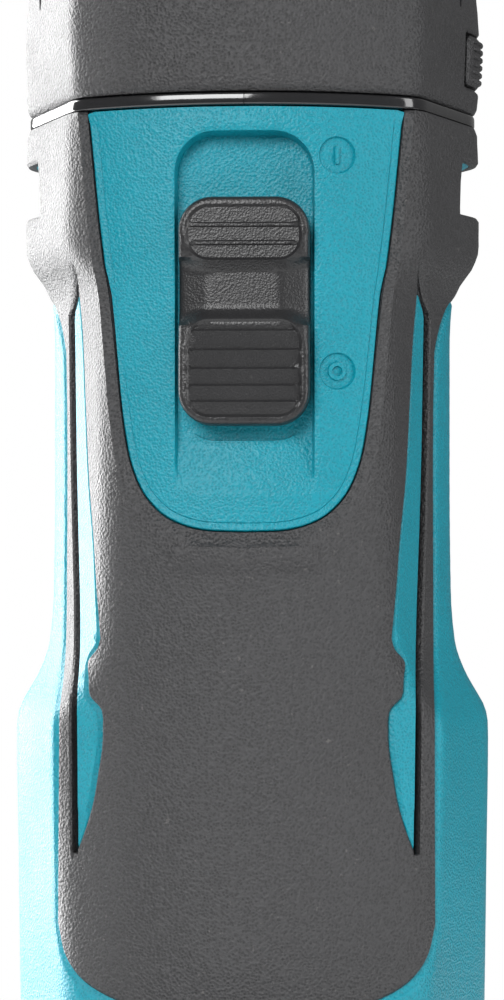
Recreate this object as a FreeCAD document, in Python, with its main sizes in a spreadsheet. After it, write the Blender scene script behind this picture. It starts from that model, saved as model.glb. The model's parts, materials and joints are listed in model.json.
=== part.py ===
import FreeCAD, Part
import math
import os
import re

import Sketcher

# Cordless rotary hobby tool, standing on its battery pack, in millimetres.
#
# +Z runs along the spindle from the pack's flat base (Z 0) to the collet. The slide switch faces -Y and
# the spindle-lock button faces +X. Two clamshell halves meet at X 0 and hold a brushless motor whose
# shaft is the spindle. A rubber head cover hides the nose casting. The pack slides off towards -Y.

V = FreeCAD.Vector
doc = FreeCAD.newDocument("rotary_tool")
sheet = doc.addObject("Spreadsheet::Sheet", "Sizes")

DIMENSIONS = {
    # outer skin, from the foot to the head
    "foot_base": 42.5,
    "shoulder_top": 207.2,
    "ring_base": 207.4,
    "ring_top": 209.2,
    "cover_base": 209.5,
    "cover_top": 246,
    "front_arc": 58,
    "back_arc": 50,
    "slant_angle": 24.6,
    "edge_round": 12,
    "side_round": 12,
    "grip_skin": 1.6,
    "shell_wall": 2.2,
    "cover_wall": 2.6,
    # rubber grip outlines, as seen from the front
    "grip_half": 30,
    "grip_foot": 66,
    "grip_foot_corner": 74,
    "shoulder_edge": 178.5,
    "slot_width": 1,
    "slot_depth": 2.3,
    # switch panel and its recess
    "panel_drop": 0.9,
    "panel_half": 25.4,
    "panel_foot": 141,
    "panel_clear": 0.1,
    "recess_half": 10.8,
    "recess_foot": 156,
    "recess_top": 202,
    "recess_corner": 5.4,
    "recess_floor": -25.4,
    "ramp_foot": 147.5,
    "tray_wall": 1.4,
    # slide switch
    "knob_half": 10.2,
    "knob_foot": 157.6,
    "knob_top": 193,
    "knob_corner": 5.3,
    "knob_face": -31.2,
    "knob_saddle": -28.2,
    "knob_base": -25.6,
    "stem_half": 3,
    "bar_front": -23.7,
    "bar_back": -21.9,
    "switch_travel": 7,
    # spindle line
    "shaft_radius": 4,
    "spindle_foot": 128.5,
    "nose_journal": 6,
    "spindle_flange": 8,
    "thread_radius": 7,
    "thread_top": 268,
    "collet_bore": 1.5875,
    "collet_top": 272,
    "nut_base": 259.4,
    "nut_top": 275,
    "nut_flats": 19,
    "rear_bearing_base": 130,
    "rear_bearing_radius": 11,
    "nose_bearing_base": 246,
    "nose_bearing_height": 8,
    "nose_bearing_radius": 14,
    "nose_collar_radius": 21.5,
    "nose_top": 257,
    # motor
    "stack_base": 150,
    "stack_height": 28,
    "stator_radius": 20,
    "stator_bore": 12.6,
    "rotor_radius": 10,
    "magnet_radius": 12,
    "fan_base": 188,
    "fan_radius": 19,
    # spindle lock
    "lock_level": 218,
    "lock_collar_radius": 10.5,
    "lock_pin_radius": 1.8,
    "lock_travel": 3.2,
    # foot and battery pack
    "pack_front": -46,
    "pack_back": 66,
    "pack_half": 37.5,
    "pack_split": 25,
    "pack_height": 42,
    "pack_corner": 7,
    "pack_wall": 2.2,
    "tower_half": 28,
    "tower_back": -28.2,
    "tower_top": 54,
    "rail_neck": 24,
    "rail_half": 27.2,
    "rail_lip": 45.8,
    "rail_top": 49.4,
    "rail_end": 24,
    "cell_radius": 9.1,
    "cell_length": 65,
    # fasteners
    "screw_radius": 1.5,
    "screw_head": 3,
    "screw_seat": 17,
    "boss_radius": 4.6,
}

# Levels of the outer skin: height, half width, front depth and back depth.
BODY_LEVELS = [
    (42.5, 38.2, 32.5, 35.0),
    (66, 38.6, 32.3, 34.5),
    (88, 38.9, 31.2, 33.0),
    (107, 39.2, 30.0, 31.3),
    (110, 39.1, 29.9, 31.1),
    (112.2, 38.4, 29.8, 31.0),
    (115, 36.8, 29.6, 30.7),
    (118.2, 35.1, 29.5, 30.5),
    (122.5, 33.7, 29.4, 30.3),
    (131, 33.0, 29.2, 30.0),
    (150, 32.8, 29.3, 30.0),
    (171, 32.8, 29.7, 30.0),
    (177.6, 33.1, 29.9, 30.1),
    (181.2, 34.4, 30.0, 30.2),
    (184.4, 36.6, 30.1, 30.3),
    (187.5, 37.6, 30.2, 30.3),
    (197, 37.6, 30.4, 30.3),
    (207.2, 37.3, 30.5, 30.2),
]
HEAD_LEVELS = [
    (209.5, 37.2, 30.7, 30.4),
    (214, 37.6, 31.0, 30.7),
    (221, 37.9, 31.0, 30.7),
    (229, 37.4, 30.6, 30.4),
    (234, 36.3, 29.9, 29.8),
    (238.5, 34.2, 28.7, 28.7),
    (242.5, 31.4, 27.2, 27.2),
    (246, 28.2, 25.6, 25.6),
]
LEVEL_KEYS = ("level", "half_width", "front", "back")
# Clamshell screws: Y and Z of each, with X across the tool.
SCREW_PLACES = [(24, 192), (22.5, 140), (22.5, 112), (22.5, 88), (27, 64)]
# Nose screws: X and Y of each, with Z down into the shoulders.
NOSE_SCREW_PLACES = [(18, 20.5), (-18, 20.5), (24.5, -16.5), (-24.5, -16.5)]


def fill_sheet():
    """Writes every driving dimension into the sheet as a cell with an alias."""
    rows = dict(DIMENSIONS)
    for prefix, levels in (("body", BODY_LEVELS), ("head", HEAD_LEVELS)):
        for n, values in enumerate(levels):
            for key, value in zip(LEVEL_KEYS, values):
                rows[f"{prefix}{n}_{key}"] = value
    for row, (alias, value) in enumerate(rows.items(), start=1):
        sheet.set(f"A{row}", alias)
        sheet.set(f"B{row}", str(value))
        sheet.setAlias(f"B{row}", alias)
    doc.recompute()
    return set(rows)


ALIASES = fill_sheet()


def formula(text):
    """An expression in which each bare alias is read from the sheet."""
    return re.sub(
        r"[a-z][a-z0-9_]*",
        lambda word: "Sizes." + word.group() if word.group() in ALIASES else word.group(),
        str(text),
    )


def bind(thing, prop, text):
    thing.setExpression(prop, formula(text))


def place(thing, x=0, y=0, z=0):
    for axis, text in zip("xyz", (x, y, z)):
        bind(thing, f"Placement.Base.{axis}", text)


# ---------------------------------------------------------------- primitives and booleans


def box(name, x, y, z):
    """A block between two expressions on each axis."""
    made = doc.addObject("Part::Box", name)
    for prop, (low, high) in zip(("Length", "Width", "Height"), (x, y, z)):
        bind(made, prop, f"({high}) - ({low})")
    place(made, x[0], y[0], z[0])
    return made


def rod(name, radius, low, high, across=(0, 0), axis="z"):
    """A cylinder along an axis from low to high; across is its place on the other two axes."""
    made = doc.addObject("Part::Cylinder", name)
    bind(made, "Radius", radius)
    bind(made, "Height", f"({high}) - ({low})")
    if axis == "x":
        made.Placement.Rotation = FreeCAD.Rotation(V(0, 1, 0), 90)
        place(made, low, *across)
    elif axis == "y":
        made.Placement.Rotation = FreeCAD.Rotation(V(1, 0, 0), -90)
        place(made, across[0], low, across[1])
    else:
        place(made, *across, low)
    return made


def fuse(name, *parts):
    made = doc.addObject("Part::MultiFuse", name)
    made.Shapes = list(parts)
    return made


def cut(name, base, *tools):
    made = doc.addObject("Part::Cut", name)
    made.Base = base
    made.Tool = tools[0] if len(tools) == 1 else fuse(name + "_tools", *tools)
    return made


def common(name, base, tool):
    made = doc.addObject("Part::Common", name)
    made.Base = base
    made.Tool = tool
    return made


def group(name, parts):
    """Several separate solids in one sub-part."""
    made = doc.addObject("Part::Compound", name)
    made.Links = list(parts)
    return made


def solid(name, shape):
    """A sub-part whose shape is worked out with Part's own functions."""
    made = doc.addObject("Part::Feature", name)
    made.Shape = shape
    return made


# ---------------------------------------------------------------- sketched bodies


def origin_plane(body, role):
    return next(f for f in body.Origin.OriginFeatures if f.Role == role)


def outline_sketch(body, name, role, points, height=0):
    """A closed outline of straight lines whose corners are bound to the sheet."""
    made = body.newObject("Sketcher::SketchObject", name)
    made.AttachmentSupport = (origin_plane(body, role), "")
    made.MapMode = "FlatFace"
    bind(made, "AttachmentOffset.Base.z", height)
    corners = [V(n + 1, n * n, 0) for n in range(len(points))]
    for start, end in zip(corners, corners[1:] + corners[:1]):
        made.addGeometry(Part.LineSegment(start, end))
    for n in range(len(points)):
        made.addConstraint(Sketcher.Constraint("Coincident", n, 2, (n + 1) % len(points), 1))
    for n, pair in enumerate(points):
        for kind, text, value in zip(("DistanceX", "DistanceY"), pair, corners[n]):
            index = made.addConstraint(Sketcher.Constraint(kind, -1, 1, n, 1, value))
            made.setExpression(f"Constraints[{index}]", formula(text))
    return made


def circle_sketch(body, name, height, *radii):
    """Circles about the origin whose radii are bound to the sheet."""
    made = body.newObject("Sketcher::SketchObject", name)
    made.AttachmentSupport = (origin_plane(body, "XY_Plane"), "")
    made.MapMode = "FlatFace"
    bind(made, "AttachmentOffset.Base.z", height)
    for n, radius in enumerate(radii):
        made.addGeometry(Part.Circle(V(0, 0, 0), V(0, 0, 1), n + 1))
        made.addConstraint(Sketcher.Constraint("Coincident", n, 3, -1, 1))
        index = made.addConstraint(Sketcher.Constraint("Radius", n, n + 1))
        made.setExpression(f"Constraints[{index}]", formula(radius))
    return made


def pad(body, profile, length):
    made = body.newObject("PartDesign::Pad", profile.Name + "_pad")
    made.Profile = profile
    bind(made, "Length", length)
    return made


def pocket(body, profile, length, reversed_way=False):
    made = body.newObject("PartDesign::Pocket", profile.Name + "_pocket")
    made.Profile = profile
    made.Reversed = reversed_way
    bind(made, "Length", length)
    return made


def polar(body, feature, profile, count):
    """Repeats a feature round Z and makes the pattern the body's tip."""
    made = body.newObject("PartDesign::PolarPattern", feature.Name + "_pattern")
    made.Originals = [feature]
    made.Axis = (profile, ["N_Axis"])
    made.Angle = 360
    made.Occurrences = count
    body.Tip = made
    return made


def turned(name, points):
    """A body revolved about Z from its (radius, height) outline."""
    body = doc.addObject("PartDesign::Body", name)
    profile = outline_sketch(body, name + "_profile", "XZ_Plane", points)
    made = body.newObject("PartDesign::Revolution", name + "_turn")
    made.Profile = profile
    made.ReferenceAxis = (profile, ["V_Axis"])
    made.Angle = 360
    return body


def flat_ring(name, inner, outer, low, high):
    """A washer-like body padded between two heights."""
    body = doc.addObject("PartDesign::Body", name)
    pad(body, circle_sketch(body, name + "_circles", low, outer, inner), f"({high}) - ({low})")
    return body


# ---------------------------------------------------------------- the outer skin


def quarter(arc, depth, reach, inset):
    """Corner points of one quarter of a section, in X and depth, for an offset from the spindle line.

    A curved face of radius arc meets a slanted side at distance reach, through a rounded edge. Returns
    the edge's start, middle and end, and the end of the slanted side.
    """
    slant = math.radians(sheet.slant_angle)
    cos, sin = math.cos(slant), math.sin(slant)
    drop, radius, near = arc - depth, arc - sheet.edge_round, reach - sheet.edge_round
    a, b = 1 / cos**2, drop - near * sin / cos**2
    c = (near / cos) ** 2 + drop**2 - radius**2
    deep = (-b + math.sqrt(b * b - a * c)) / a
    across = (near - deep * sin) / cos
    turn = math.atan2(deep + drop, across)
    edge = sheet.edge_round - inset
    points = [
        (across + edge * math.cos(way), deep + edge * math.sin(way))
        for way in (turn, (turn + slant) / 2, slant)
    ]
    side = sheet.side_round - inset
    middle = (reach - sheet.side_round) / cos
    return [*points, (middle + side * cos, side * sin)]


def section(values, inset):
    """The closed outline of the skin at one level: arcs for the faces, edges and sides, lines between."""
    level, half_width, front, back = values
    slant = math.radians(sheet.slant_angle)
    reach = (half_width - sheet.side_round) * math.cos(slant) + sheet.side_round
    before = [(x, -deep) for x, deep in quarter(sheet.front_arc, front, reach, inset)]
    behind = quarter(sheet.back_arc, back, reach, inset)
    middles = ((0, inset - front), (half_width - inset, 0), (0, back - inset), (inset - half_width, 0))

    def mirrored(points):
        return [(-x, y) for x, y in reversed(points)]

    def at(point):
        return V(point[0], point[1], level)

    def arc(*points):
        return Part.Arc(*[at(point) for point in points]).toShape()

    def line(start, end):
        return Part.LineSegment(at(start), at(end)).toShape()

    right_front, right_back = before, behind[::-1]
    left_back, left_front = mirrored(right_back), mirrored(right_front)
    return Part.Wire([
        arc(left_front[-1], middles[0], right_front[0]),
        arc(*right_front[:3]),
        line(*right_front[2:]),
        arc(right_front[3], middles[1], right_back[0]),
        line(*right_back[:2]),
        arc(*right_back[1:]),
        arc(right_back[-1], middles[2], left_back[0]),
        arc(*left_back[:3]),
        line(*left_back[2:]),
        arc(left_back[3], middles[3], left_front[0]),
        line(*left_front[:2]),
        arc(*left_front[1:]),
    ])


def levels(prefix, count):
    return [[getattr(sheet, f"{prefix}{n}_{key}") for key in LEVEL_KEYS] for n in range(count)]


def between(stations, height):
    """The level's values at a height, read between its two neighbours."""
    for low, high in zip(stations, stations[1:]):
        if low[0] <= height <= high[0]:
            share = (height - low[0]) / (high[0] - low[0])
            return [a + (b - a) * share for a, b in zip(low, high)]
    raise ValueError(f"no level holds height {height}")


def skin(name, stations, inset=0, extra=0):
    """The skin as a solid, offset inwards by inset and made longer at both ends by extra."""
    stations = [list(values) for values in stations]
    stations[0][0] -= extra
    stations[-1][0] += extra
    return solid(name, Part.makeLoft([section(v, inset) for v in stations], True, True))


BODY = levels("body", len(BODY_LEVELS))
HEAD = levels("head", len(HEAD_LEVELS))


def prism(name, wire, start, end):
    """An outline drawn in X and Z, carried along Y from start to end."""
    wire = wire.copy()
    wire.translate(V(0, start, 0))
    return solid(name, Part.Face(wire).extrude(V(0, end - start, 0)))


def smooth(points):
    """A curve through points given as (x, z)."""
    curve = Part.BSplineCurve()
    curve.interpolate([V(x, 0, z) for x, z in points])
    return curve.toShape()


def straight(*points):
    ends = [V(x, 0, z) for x, z in points]
    return [Part.LineSegment(a, b).toShape() for a, b in zip(ends, ends[1:])]


def rounded_outline(half, low, high, corner):
    """A rectangle about X 0 with round corners, drawn in X and Z."""
    edges = []
    corners = [(half, low), (half, high), (-half, high), (-half, low)]
    for n, (x, z) in enumerate(corners):
        cx = x - math.copysign(corner, x)
        cz = z + corner if z == low else z - corner
        start = math.radians(-90 + 90 * n)
        arc = [(cx + corner * math.cos(start + s), cz + corner * math.sin(start + s))
               for s in (0, math.pi / 4, math.pi / 2)]
        edges.append(Part.Arc(*[V(a, 0, b) for a, b in arc]).toShape())
        edges.append((arc[0], arc[2]))
    arcs, ends = edges[0::2], edges[1::2]
    sides = []
    for n in range(4):
        sides += [arcs[n], *straight(ends[n][1], ends[(n + 1) % 4][0])]
    return Part.Wire(sides)


def panel_outline(grow=0):
    """The U-shaped switch panel: open at the top, with round lower corners."""
    half, foot, top = sheet.panel_half + grow, sheet.panel_foot - grow, sheet.shoulder_top + 1
    right = [
        (half, top),
        (half - 2, 187),
        (half - 4.7, 168.6),
        (half - 6.6, 152 - grow / 2),
        (half - 10.2, 144.2 - grow),
        (half - 16.5, foot + 0.5),
        (0, foot),
    ]
    left = [(-x, z) for x, z in reversed(right[:-1])]
    return Part.Wire([smooth(right + left), *straight((-half, top), (half, top))])


def grip_outline():
    """The rubber grip as seen from the front: full width at the shoulder, and a round foot."""
    half, foot = sheet.grip_half, sheet.grip_foot
    top, edge, reach = sheet.shoulder_top + 1, sheet.shoulder_edge, 45
    corner = sheet.grip_foot_corner
    right = [(reach, top), (reach, edge + 5), (half + 2.6, edge), (half, edge - 6), (half, corner)]
    foot_curve = [(half, corner), (half - 2.2, corner - 3.6), (half - 13, foot + 1.7), (0, foot)]
    mirrored = [(-x, z) for x, z in reversed(foot_curve[:-1])]
    left = [(-x, z) for x, z in reversed(right)]
    bottom = smooth(foot_curve + mirrored)
    return Part.Wire([*straight(*right), bottom, *straight(*left), *straight(left[-1], right[0])])


# The side slot's middle line, as X and Z.
SLOT_LINE = [(27.0, 90.4), (27.5, 122), (28.4, 149), (28.9, 176), (27.6, 183.5)]


def stripe_outline(side):
    """The bare stripe beside the slot, with the thumb notch halfway down."""
    inner = [(27.3, 180.4), (26.0, 161.8), (25.3, 149.2), (23.8, 131.9), (23.1, 124.2)]
    notch = [(23.1, 124.2), (23.6, 122.6), (25.1, 120.7), (24.7, 115.2), (22.8, 113.1), (22.5, 111.6)]
    lower = [(22.5, 111.6), (22.7, 107.3), (24.0, 98.6), (25.8, 92.8), (26.7, 90.8)]

    def turn(points):
        return [(side * x, z) for x, z in points]

    edges = [smooth(turn(inner)), *straight(*turn(notch)), smooth(turn(lower))]
    edges += straight(*turn(lower[-1:] + SLOT_LINE[1:4] + inner[:1]))
    return Part.Wire(edges)


def slot_outline(side):
    """The long, narrow side slot: pointed at its top, leaning outwards, and square at its foot."""
    half = sheet.slot_width / 2
    outer = [(x + half, z) for x, z in SLOT_LINE[:-1]]
    inner = [(x - half, z) for x, z in SLOT_LINE[-2::-1]]
    points = [(side * x, z) for x, z in outer + SLOT_LINE[-1:] + inner + outer[:1]]
    return Part.Wire(straight(*points))


# ---------------------------------------------------------------- clamshell, grips and switch panel


def build_case():
    """The two clamshell halves and their rubber grips."""
    outer = skin("skin_outer", BODY)
    seat = skin("skin_seat", BODY, sheet.grip_skin, 1)
    hollow = skin("skin_hollow", BODY, sheet.grip_skin + sheet.shell_wall, 1)
    reach = 60
    panel_prism = prism("panel_hole_prism", panel_outline(sheet.panel_clear), -reach, -8)
    panel_hole = cut("panel_hole", panel_prism,
                     skin("panel_hole_floor", BODY, sheet.grip_skin + sheet.shell_wall + 0.1, 2))
    stripes = [prism(f"stripe_{n}", stripe_outline(s), -reach, -4) for n, s in enumerate((1, -1))]
    grip_zone = cut("grip_zone", prism("grip_prism", grip_outline(), -reach, reach), *stripes)
    slots = [prism(f"side_slot_{n}", slot_outline(s), -reach, -4) for n, s in enumerate((1, -1))]
    slot_cutter = cut("slot_cutter", fuse("slot_pair", *slots),
                      skin("slot_floor", BODY, sheet.slot_depth, 2))
    vents = [
        box(f"vent_{n}", x, (-13, 13), (193.4, 200.2))
        for n, x in enumerate(((34.7, 40), (-40, -34.7)))
    ]
    vent_ports = [
        box(f"vent_port_{n}_{k}", x, (low, low + 4), (194.6, 199))
        for n, x in enumerate(((31, 36), (-36, -31)))
        for k, low in enumerate((-11.5, -5.5, 0.5, 6.5))
    ]
    drills, pockets = [], []
    for n, (y, z) in enumerate(SCREW_PLACES):
        drills.append(rod(f"drill_{n}", "screw_radius + 0.1", -20, 45, (y, z), "x"))
        pockets.append(rod(f"head_pocket_{n}", "screw_head + 0.3", "screw_seat", 45, (y, z), "x"))
    for n, (x, y) in enumerate(NOSE_SCREW_PLACES):
        drills.append(rod(f"nose_drill_{n}", "screw_radius + 0.1", 190, 209, (x, y)))

    grip_layer = cut("grip_layer", outer, seat)
    grips = cut("grips_both", common("grip_block", grip_layer, grip_zone),
                slot_cutter, panel_hole, *vents, *pockets)
    # The clamshell is the rest of the wall, with everything it carries inside.
    mouth = fuse(
        "tower_mouth",
        box("mouth_wide", ("-tower_half - 0.5", "tower_half + 0.5"), (-60, "tower_back + 0.6"),
            ("foot_base - 1", "tower_top + 0.5")),
        box("rail_room", ("-rail_half - 0.3", "rail_half + 0.3"), (-60, -5),
            ("foot_base - 1", "rail_top + 0.3")),
        box("latch_room", (-8.5, 8.5), (-60, "tower_back + 1.2"), ("tower_top - 1", "tower_top + 1.4")),
    )
    inside = cut("case_inside_clear", build_case_inside(), panel_hole)
    blank = cut("case_blank", cut("wall_block", outer, hollow), cut("grip_seat", grip_zone, seat))
    nodes = []
    for side, x in (("left", (-50, 0)), ("right", (0, 50))):
        half = box(f"half_{side}", x, (-80, 90), (20, 215))
        wall = cut(f"wall_{side}", common(f"blank_{side}", blank, half), panel_hole, slot_cutter)
        ribs = common(f"ribs_{side}", inside, half)
        nodes.append(cut(f"housing_{side}", fuse(f"case_{side}", wall, ribs),
                         mouth, *vents, *vent_ports, *drills, *pockets))
        nodes.append(common(f"grip_{side}", grips, half))
    return nodes


def build_case_inside():
    """Ribs, bosses and the top wall that the clamshell carries, rooted in its wall."""
    lanes = [
        box("bar_lane", (-9, 9), (-60, -20.6), (100, 205)),
        box("lead_lane", (-9, 9), (14.5, 22), (100, 184)),
    ]
    plates = []
    for name, low, high, radius in (
        ("rear_seat", "rear_bearing_base + 0.6", "rear_bearing_base + 6.4", "rear_bearing_radius"),
        ("stator_rib_low", 153, 155, "stator_radius + 0.03"),
        ("stator_rib_high", 173, 175, "stator_radius + 0.03"),
        ("top_wall", 203.4, "shoulder_top", 16),
    ):
        slab = box(name + "_slab", (-45, 45), (-45, 45), (low, high))
        holes = [rod(name + "_hole", radius, f"({low}) - 1", f"({high}) + 1")]
        if name != "top_wall":
            holes += lanes
        plates.append(cut(name, slab, *holes))
    bosses = [
        rod(f"boss_{n}", "boss_radius", -45, 45, (y, z), "x")
        for n, (y, z) in enumerate(SCREW_PLACES)
    ]
    pads = [
        rod(f"nose_boss_{n}", "boss_radius", 196.5, "shoulder_top", (x, y))
        for n, (x, y) in enumerate(NOSE_SCREW_PLACES)
    ]
    root = skin("rib_root", BODY, sheet.grip_skin + sheet.shell_wall - 0.6)
    trimmed = common("case_inside_trim", fuse("case_inside", *plates, *bosses, *pads), root)
    recess_room = box("recess_room", ("-recess_half - 2", "recess_half + 2"), (-60, -20.6), (138, 208))
    return cut("case_frame", trimmed, recess_room)


def build_switch_panel():
    """The U-shaped panel with the sunken tray that the knob slides in."""
    face = skin("panel_face", BODY, sheet.panel_drop)
    back = skin("panel_back", BODY, sheet.grip_skin + sheet.shell_wall, 1)
    plate = common("panel_plate", cut("panel_layer", face, back),
                   prism("panel_prism", panel_outline(), -60, -8))
    wall = sheet.tray_wall
    tray_outline = rounded_outline(sheet.recess_half + wall, sheet.recess_foot - 1 - wall,
                                   sheet.recess_top + wall, sheet.recess_corner + wall)
    tray_block = prism("tray_block", tray_outline, -29, sheet.recess_floor + wall)
    tray = common("tray_in_skin", tray_block, face)
    recess_outline = rounded_outline(sheet.recess_half, sheet.recess_foot, sheet.recess_top,
                                     sheet.recess_corner)
    recess = prism("recess", recess_outline, -60, sheet.recess_floor)
    floor, front = sheet.recess_floor, -29.2
    slope = [V(0, floor + 1.4, sheet.recess_foot + 4), V(0, front + 0.6, sheet.ramp_foot),
             V(0, -60, sheet.ramp_foot), V(0, -60, sheet.recess_foot + 4)]
    ramp_face = Part.Face(Part.makePolygon(slope + slope[:1]))
    ramp_face.translate(V(-sheet.recess_half, 0, 0))
    ramp = solid("ramp", ramp_face.extrude(V(2 * sheet.recess_half, 0, 0)))
    stem_slot = box("stem_slot", ("-stem_half - 0.3", "stem_half + 0.3"), (-27, -20),
                    ("knob_foot + 6", "knob_top - 6 + 0.5"))
    marks = [
        rod("mark_dimple_on", 2.9, -60, -28.3, (14.6, 199.6), "y"),
        rod("mark_dimple_off", 2.9, -60, -27.9, (14.6, 166), "y"),
    ]
    shape = fuse("panel_body", plate, tray)
    return cut("switch_panel", shape, recess, ramp, stem_slot, *marks)


def build_switch():
    """The knob, the slide bar under the panel and the power switch it works."""
    outline = rounded_outline(sheet.knob_half, sheet.knob_foot, sheet.knob_top, sheet.knob_corner)
    block = prism("knob_block", outline, sheet.knob_face, sheet.knob_base)
    saddle = rod("knob_saddle", 11, "-knob_half - 1", "knob_half + 1",
                 ("knob_saddle - 11", "knob_foot + 23.5"), "x")
    grooves = [
        box(f"knob_groove_{n}", ("-knob_half + 1.4", "knob_half - 1.4"), (-40, "knob_face + 0.5"),
            (f"knob_foot + {low}", f"knob_foot + {low + 0.5}"))
        for n, low in enumerate((3.6, 6.3, 8.9, 11.5, 14.2, 28, 30.8))
    ]
    stem = box("knob_stem", ("-stem_half", "stem_half"), ("knob_base - 0.5", "bar_front - 0.1"),
               ("knob_foot + 6.5", "knob_top - 6 - switch_travel"))
    knob = cut("switch_knob", fuse("knob_body", block, stem), saddle, *grooves)
    bar = fuse(
        "slide_bar",
        box("bar_plate", (-6, 6), ("bar_front", "bar_back"), (146, 186)),
        box("bar_tail", (-3, 3), ("bar_front", "bar_back"), (113, 147)),
    )
    slider = box("switch_slider", (-2, 2), ("bar_back + 0.05", -20.1), (115, 119))
    slider_way = box("slider_way", (-2.4, 2.4), (-23, -20), (114.6, 126.6))
    body = cut(
        "power_switch",
        fuse(
            "switch_case",
            box("switch_block", (-9, 9), (-21.6, -8), (106, 127.5)),
            box("switch_lug", (-6, 6), (-14, -9), (102.5, 106.5)),
        ),
        slider_way,
    )
    return [knob, bar, slider, body]


# ---------------------------------------------------------------- head, nose and spindle lock


def build_head():
    """The neck ring halves, the rubber head cover, the nose casting and its screws."""
    edge = between(BODY, sheet.shoulder_top)
    ring_outer = [[z, edge[1] - 0.5, edge[2] - 0.45, edge[3] - 0.45]
                  for z in (sheet.ring_base, sheet.ring_top)]
    ring = cut("ring_both", skin("ring_skin", ring_outer), rod("ring_bore", 19, 200, 215),
               *[rod(f"ring_drill_{n}", "screw_radius + 0.4", 200, 215, p)
                 for n, p in enumerate(NOSE_SCREW_PLACES)])
    rings = [
        common("neck_ring_left", ring, box("ring_left", (-50, -0.03), (-50, 50), (200, 215))),
        common("neck_ring_right", ring, box("ring_right", (0.03, 50), (-50, 50), (200, 215))),
    ]

    cover = cut(
        "cover_shell",
        skin("cover_outer", HEAD),
        skin("cover_inner", [v for v in HEAD[:-1]], sheet.cover_wall),
        rod("cover_mouth", "nose_collar_radius + 0.2", 235, 250),
        box("lock_window", (30, 45), (-7.3, 7.3), ("lock_level - 4.4", "lock_level + 4.4")),
    )
    notches = []
    for n, side in enumerate((1, -1)):
        tip = [V(side * 33.9, 0, 225), V(side * 31.0, 0, 240.5), V(side * 34.5, 0, 240.5)]
        face = Part.Face(Part.makePolygon(tip + tip[:1]))
        face.translate(V(0, -30, 0))
        notches.append(solid(f"cover_notch_{n}", face.extrude(V(0, 22, 0))))
    cover = cut("head_cover", cover, *notches)

    flange = common("nose_flange", skin("flange_skin", HEAD, sheet.cover_wall + 0.15),
                    box("flange_slab", (-50, 50), (-50, 50), ("cover_base", "cover_base + 4")))
    bell = turned("nose_bell", [
        (16, "cover_base"), (19, "cover_base"), (19, 232), ("nose_collar_radius - 0.4", 238),
        ("nose_collar_radius - 0.4", "cover_top + 0.2"), ("nose_collar_radius", "cover_top + 0.2"),
        ("nose_collar_radius", "nose_top - 0.8"), ("nose_collar_radius - 0.8", "nose_top"),
        (9.2, "nose_top"), (9.2, "nose_bearing_base + nose_bearing_height"),
        ("nose_bearing_radius", "nose_bearing_base + nose_bearing_height"),
        ("nose_bearing_radius", 240), (16, 238),
    ])
    bore = rod("nose_bore", 16, 205, 237.9)
    nose = cut(
        "nose_housing", fuse("nose_casting", cut("flange_ring", flange, bore), bell),
        rod("lock_guide", "lock_pin_radius + 0.1", 10, 30, (0, "lock_level"), "x"),
        *[rod(f"flange_drill_{n}", "screw_radius + 0.3", 205, 216, p)
          for n, p in enumerate(NOSE_SCREW_PLACES)],
    )
    retainer = flat_ring("bearing_retainer", 9.2, "nose_bearing_radius - 0.05", 244, 245.9)
    return [*rings, cover, nose, retainer]


def build_lock():
    """The spindle-lock button, its pin, its spring and the notched collar on the spindle."""
    level, travel = "lock_level", "lock_travel"
    block = box("lock_block", (34.6, 38.5), (-7, 7), (f"{level} - 4.1", f"{level} + 4.1"))
    stem = box("lock_stem", (30.2, 34.7), (-3, 3), (f"{level} - 3", f"{level} + 3"))
    ribs = [
        box(f"lock_rib_gap_{n}", (38.0, 39), (-8, 8), (f"{level} + {low}", f"{level} + {low + 0.7}"))
        for n, low in enumerate((-2.9, -1.2, 0.5, 2.2))
    ]
    button = cut("lock_button", fuse("lock_button_body", block, stem), *ribs)
    pin = rod("lock_pin", "lock_pin_radius", "lock_collar_radius + 0.5", 30.1, (0, level), "x")
    coil = Part.makeHelix(1.69, 10.1, 2.7)
    wire_end = Part.Wire(Part.makeCircle(0.35, V(2.7, 0, 0), V(0, 1, 0)))
    spring_shape = Part.Wire(coil).makePipeShell([wire_end], True, True)
    spring = solid("lock_spring", spring_shape)
    spring.Placement = FreeCAD.Placement(V(19.75, 0, sheet.lock_level), FreeCAD.Rotation(V(0, 1, 0), 90))

    collar = doc.addObject("PartDesign::Body", "lock_collar")
    circles = circle_sketch(collar, "collar_circles", f"{level} - 4", "lock_collar_radius", "nose_journal")
    pad(collar, circles, 8)
    hole = collar.newObject("Sketcher::SketchObject", "collar_hole")
    hole.AttachmentSupport = (origin_plane(collar, "YZ_Plane"), "")
    hole.MapMode = "FlatFace"
    hole.addGeometry(Part.Circle(V(0, 218, 0), V(0, 0, 1), 2))
    hole.addConstraint(Sketcher.Constraint("PointOnObject", 0, 3, -2))
    centre = hole.addConstraint(Sketcher.Constraint("DistanceY", -1, 1, 0, 3, 218))
    hole.setExpression(f"Constraints[{centre}]", formula(level))
    radius = hole.addConstraint(Sketcher.Constraint("Radius", 0, 2))
    hole.setExpression(f"Constraints[{radius}]", formula("lock_pin_radius + 0.2"))
    bind(hole, "AttachmentOffset.Base.z", "lock_collar_radius - 3.2")
    drilled = pocket(collar, hole, 6, True)
    polar(collar, drilled, circles, 12)
    return [button, pin, spring, collar]


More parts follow.
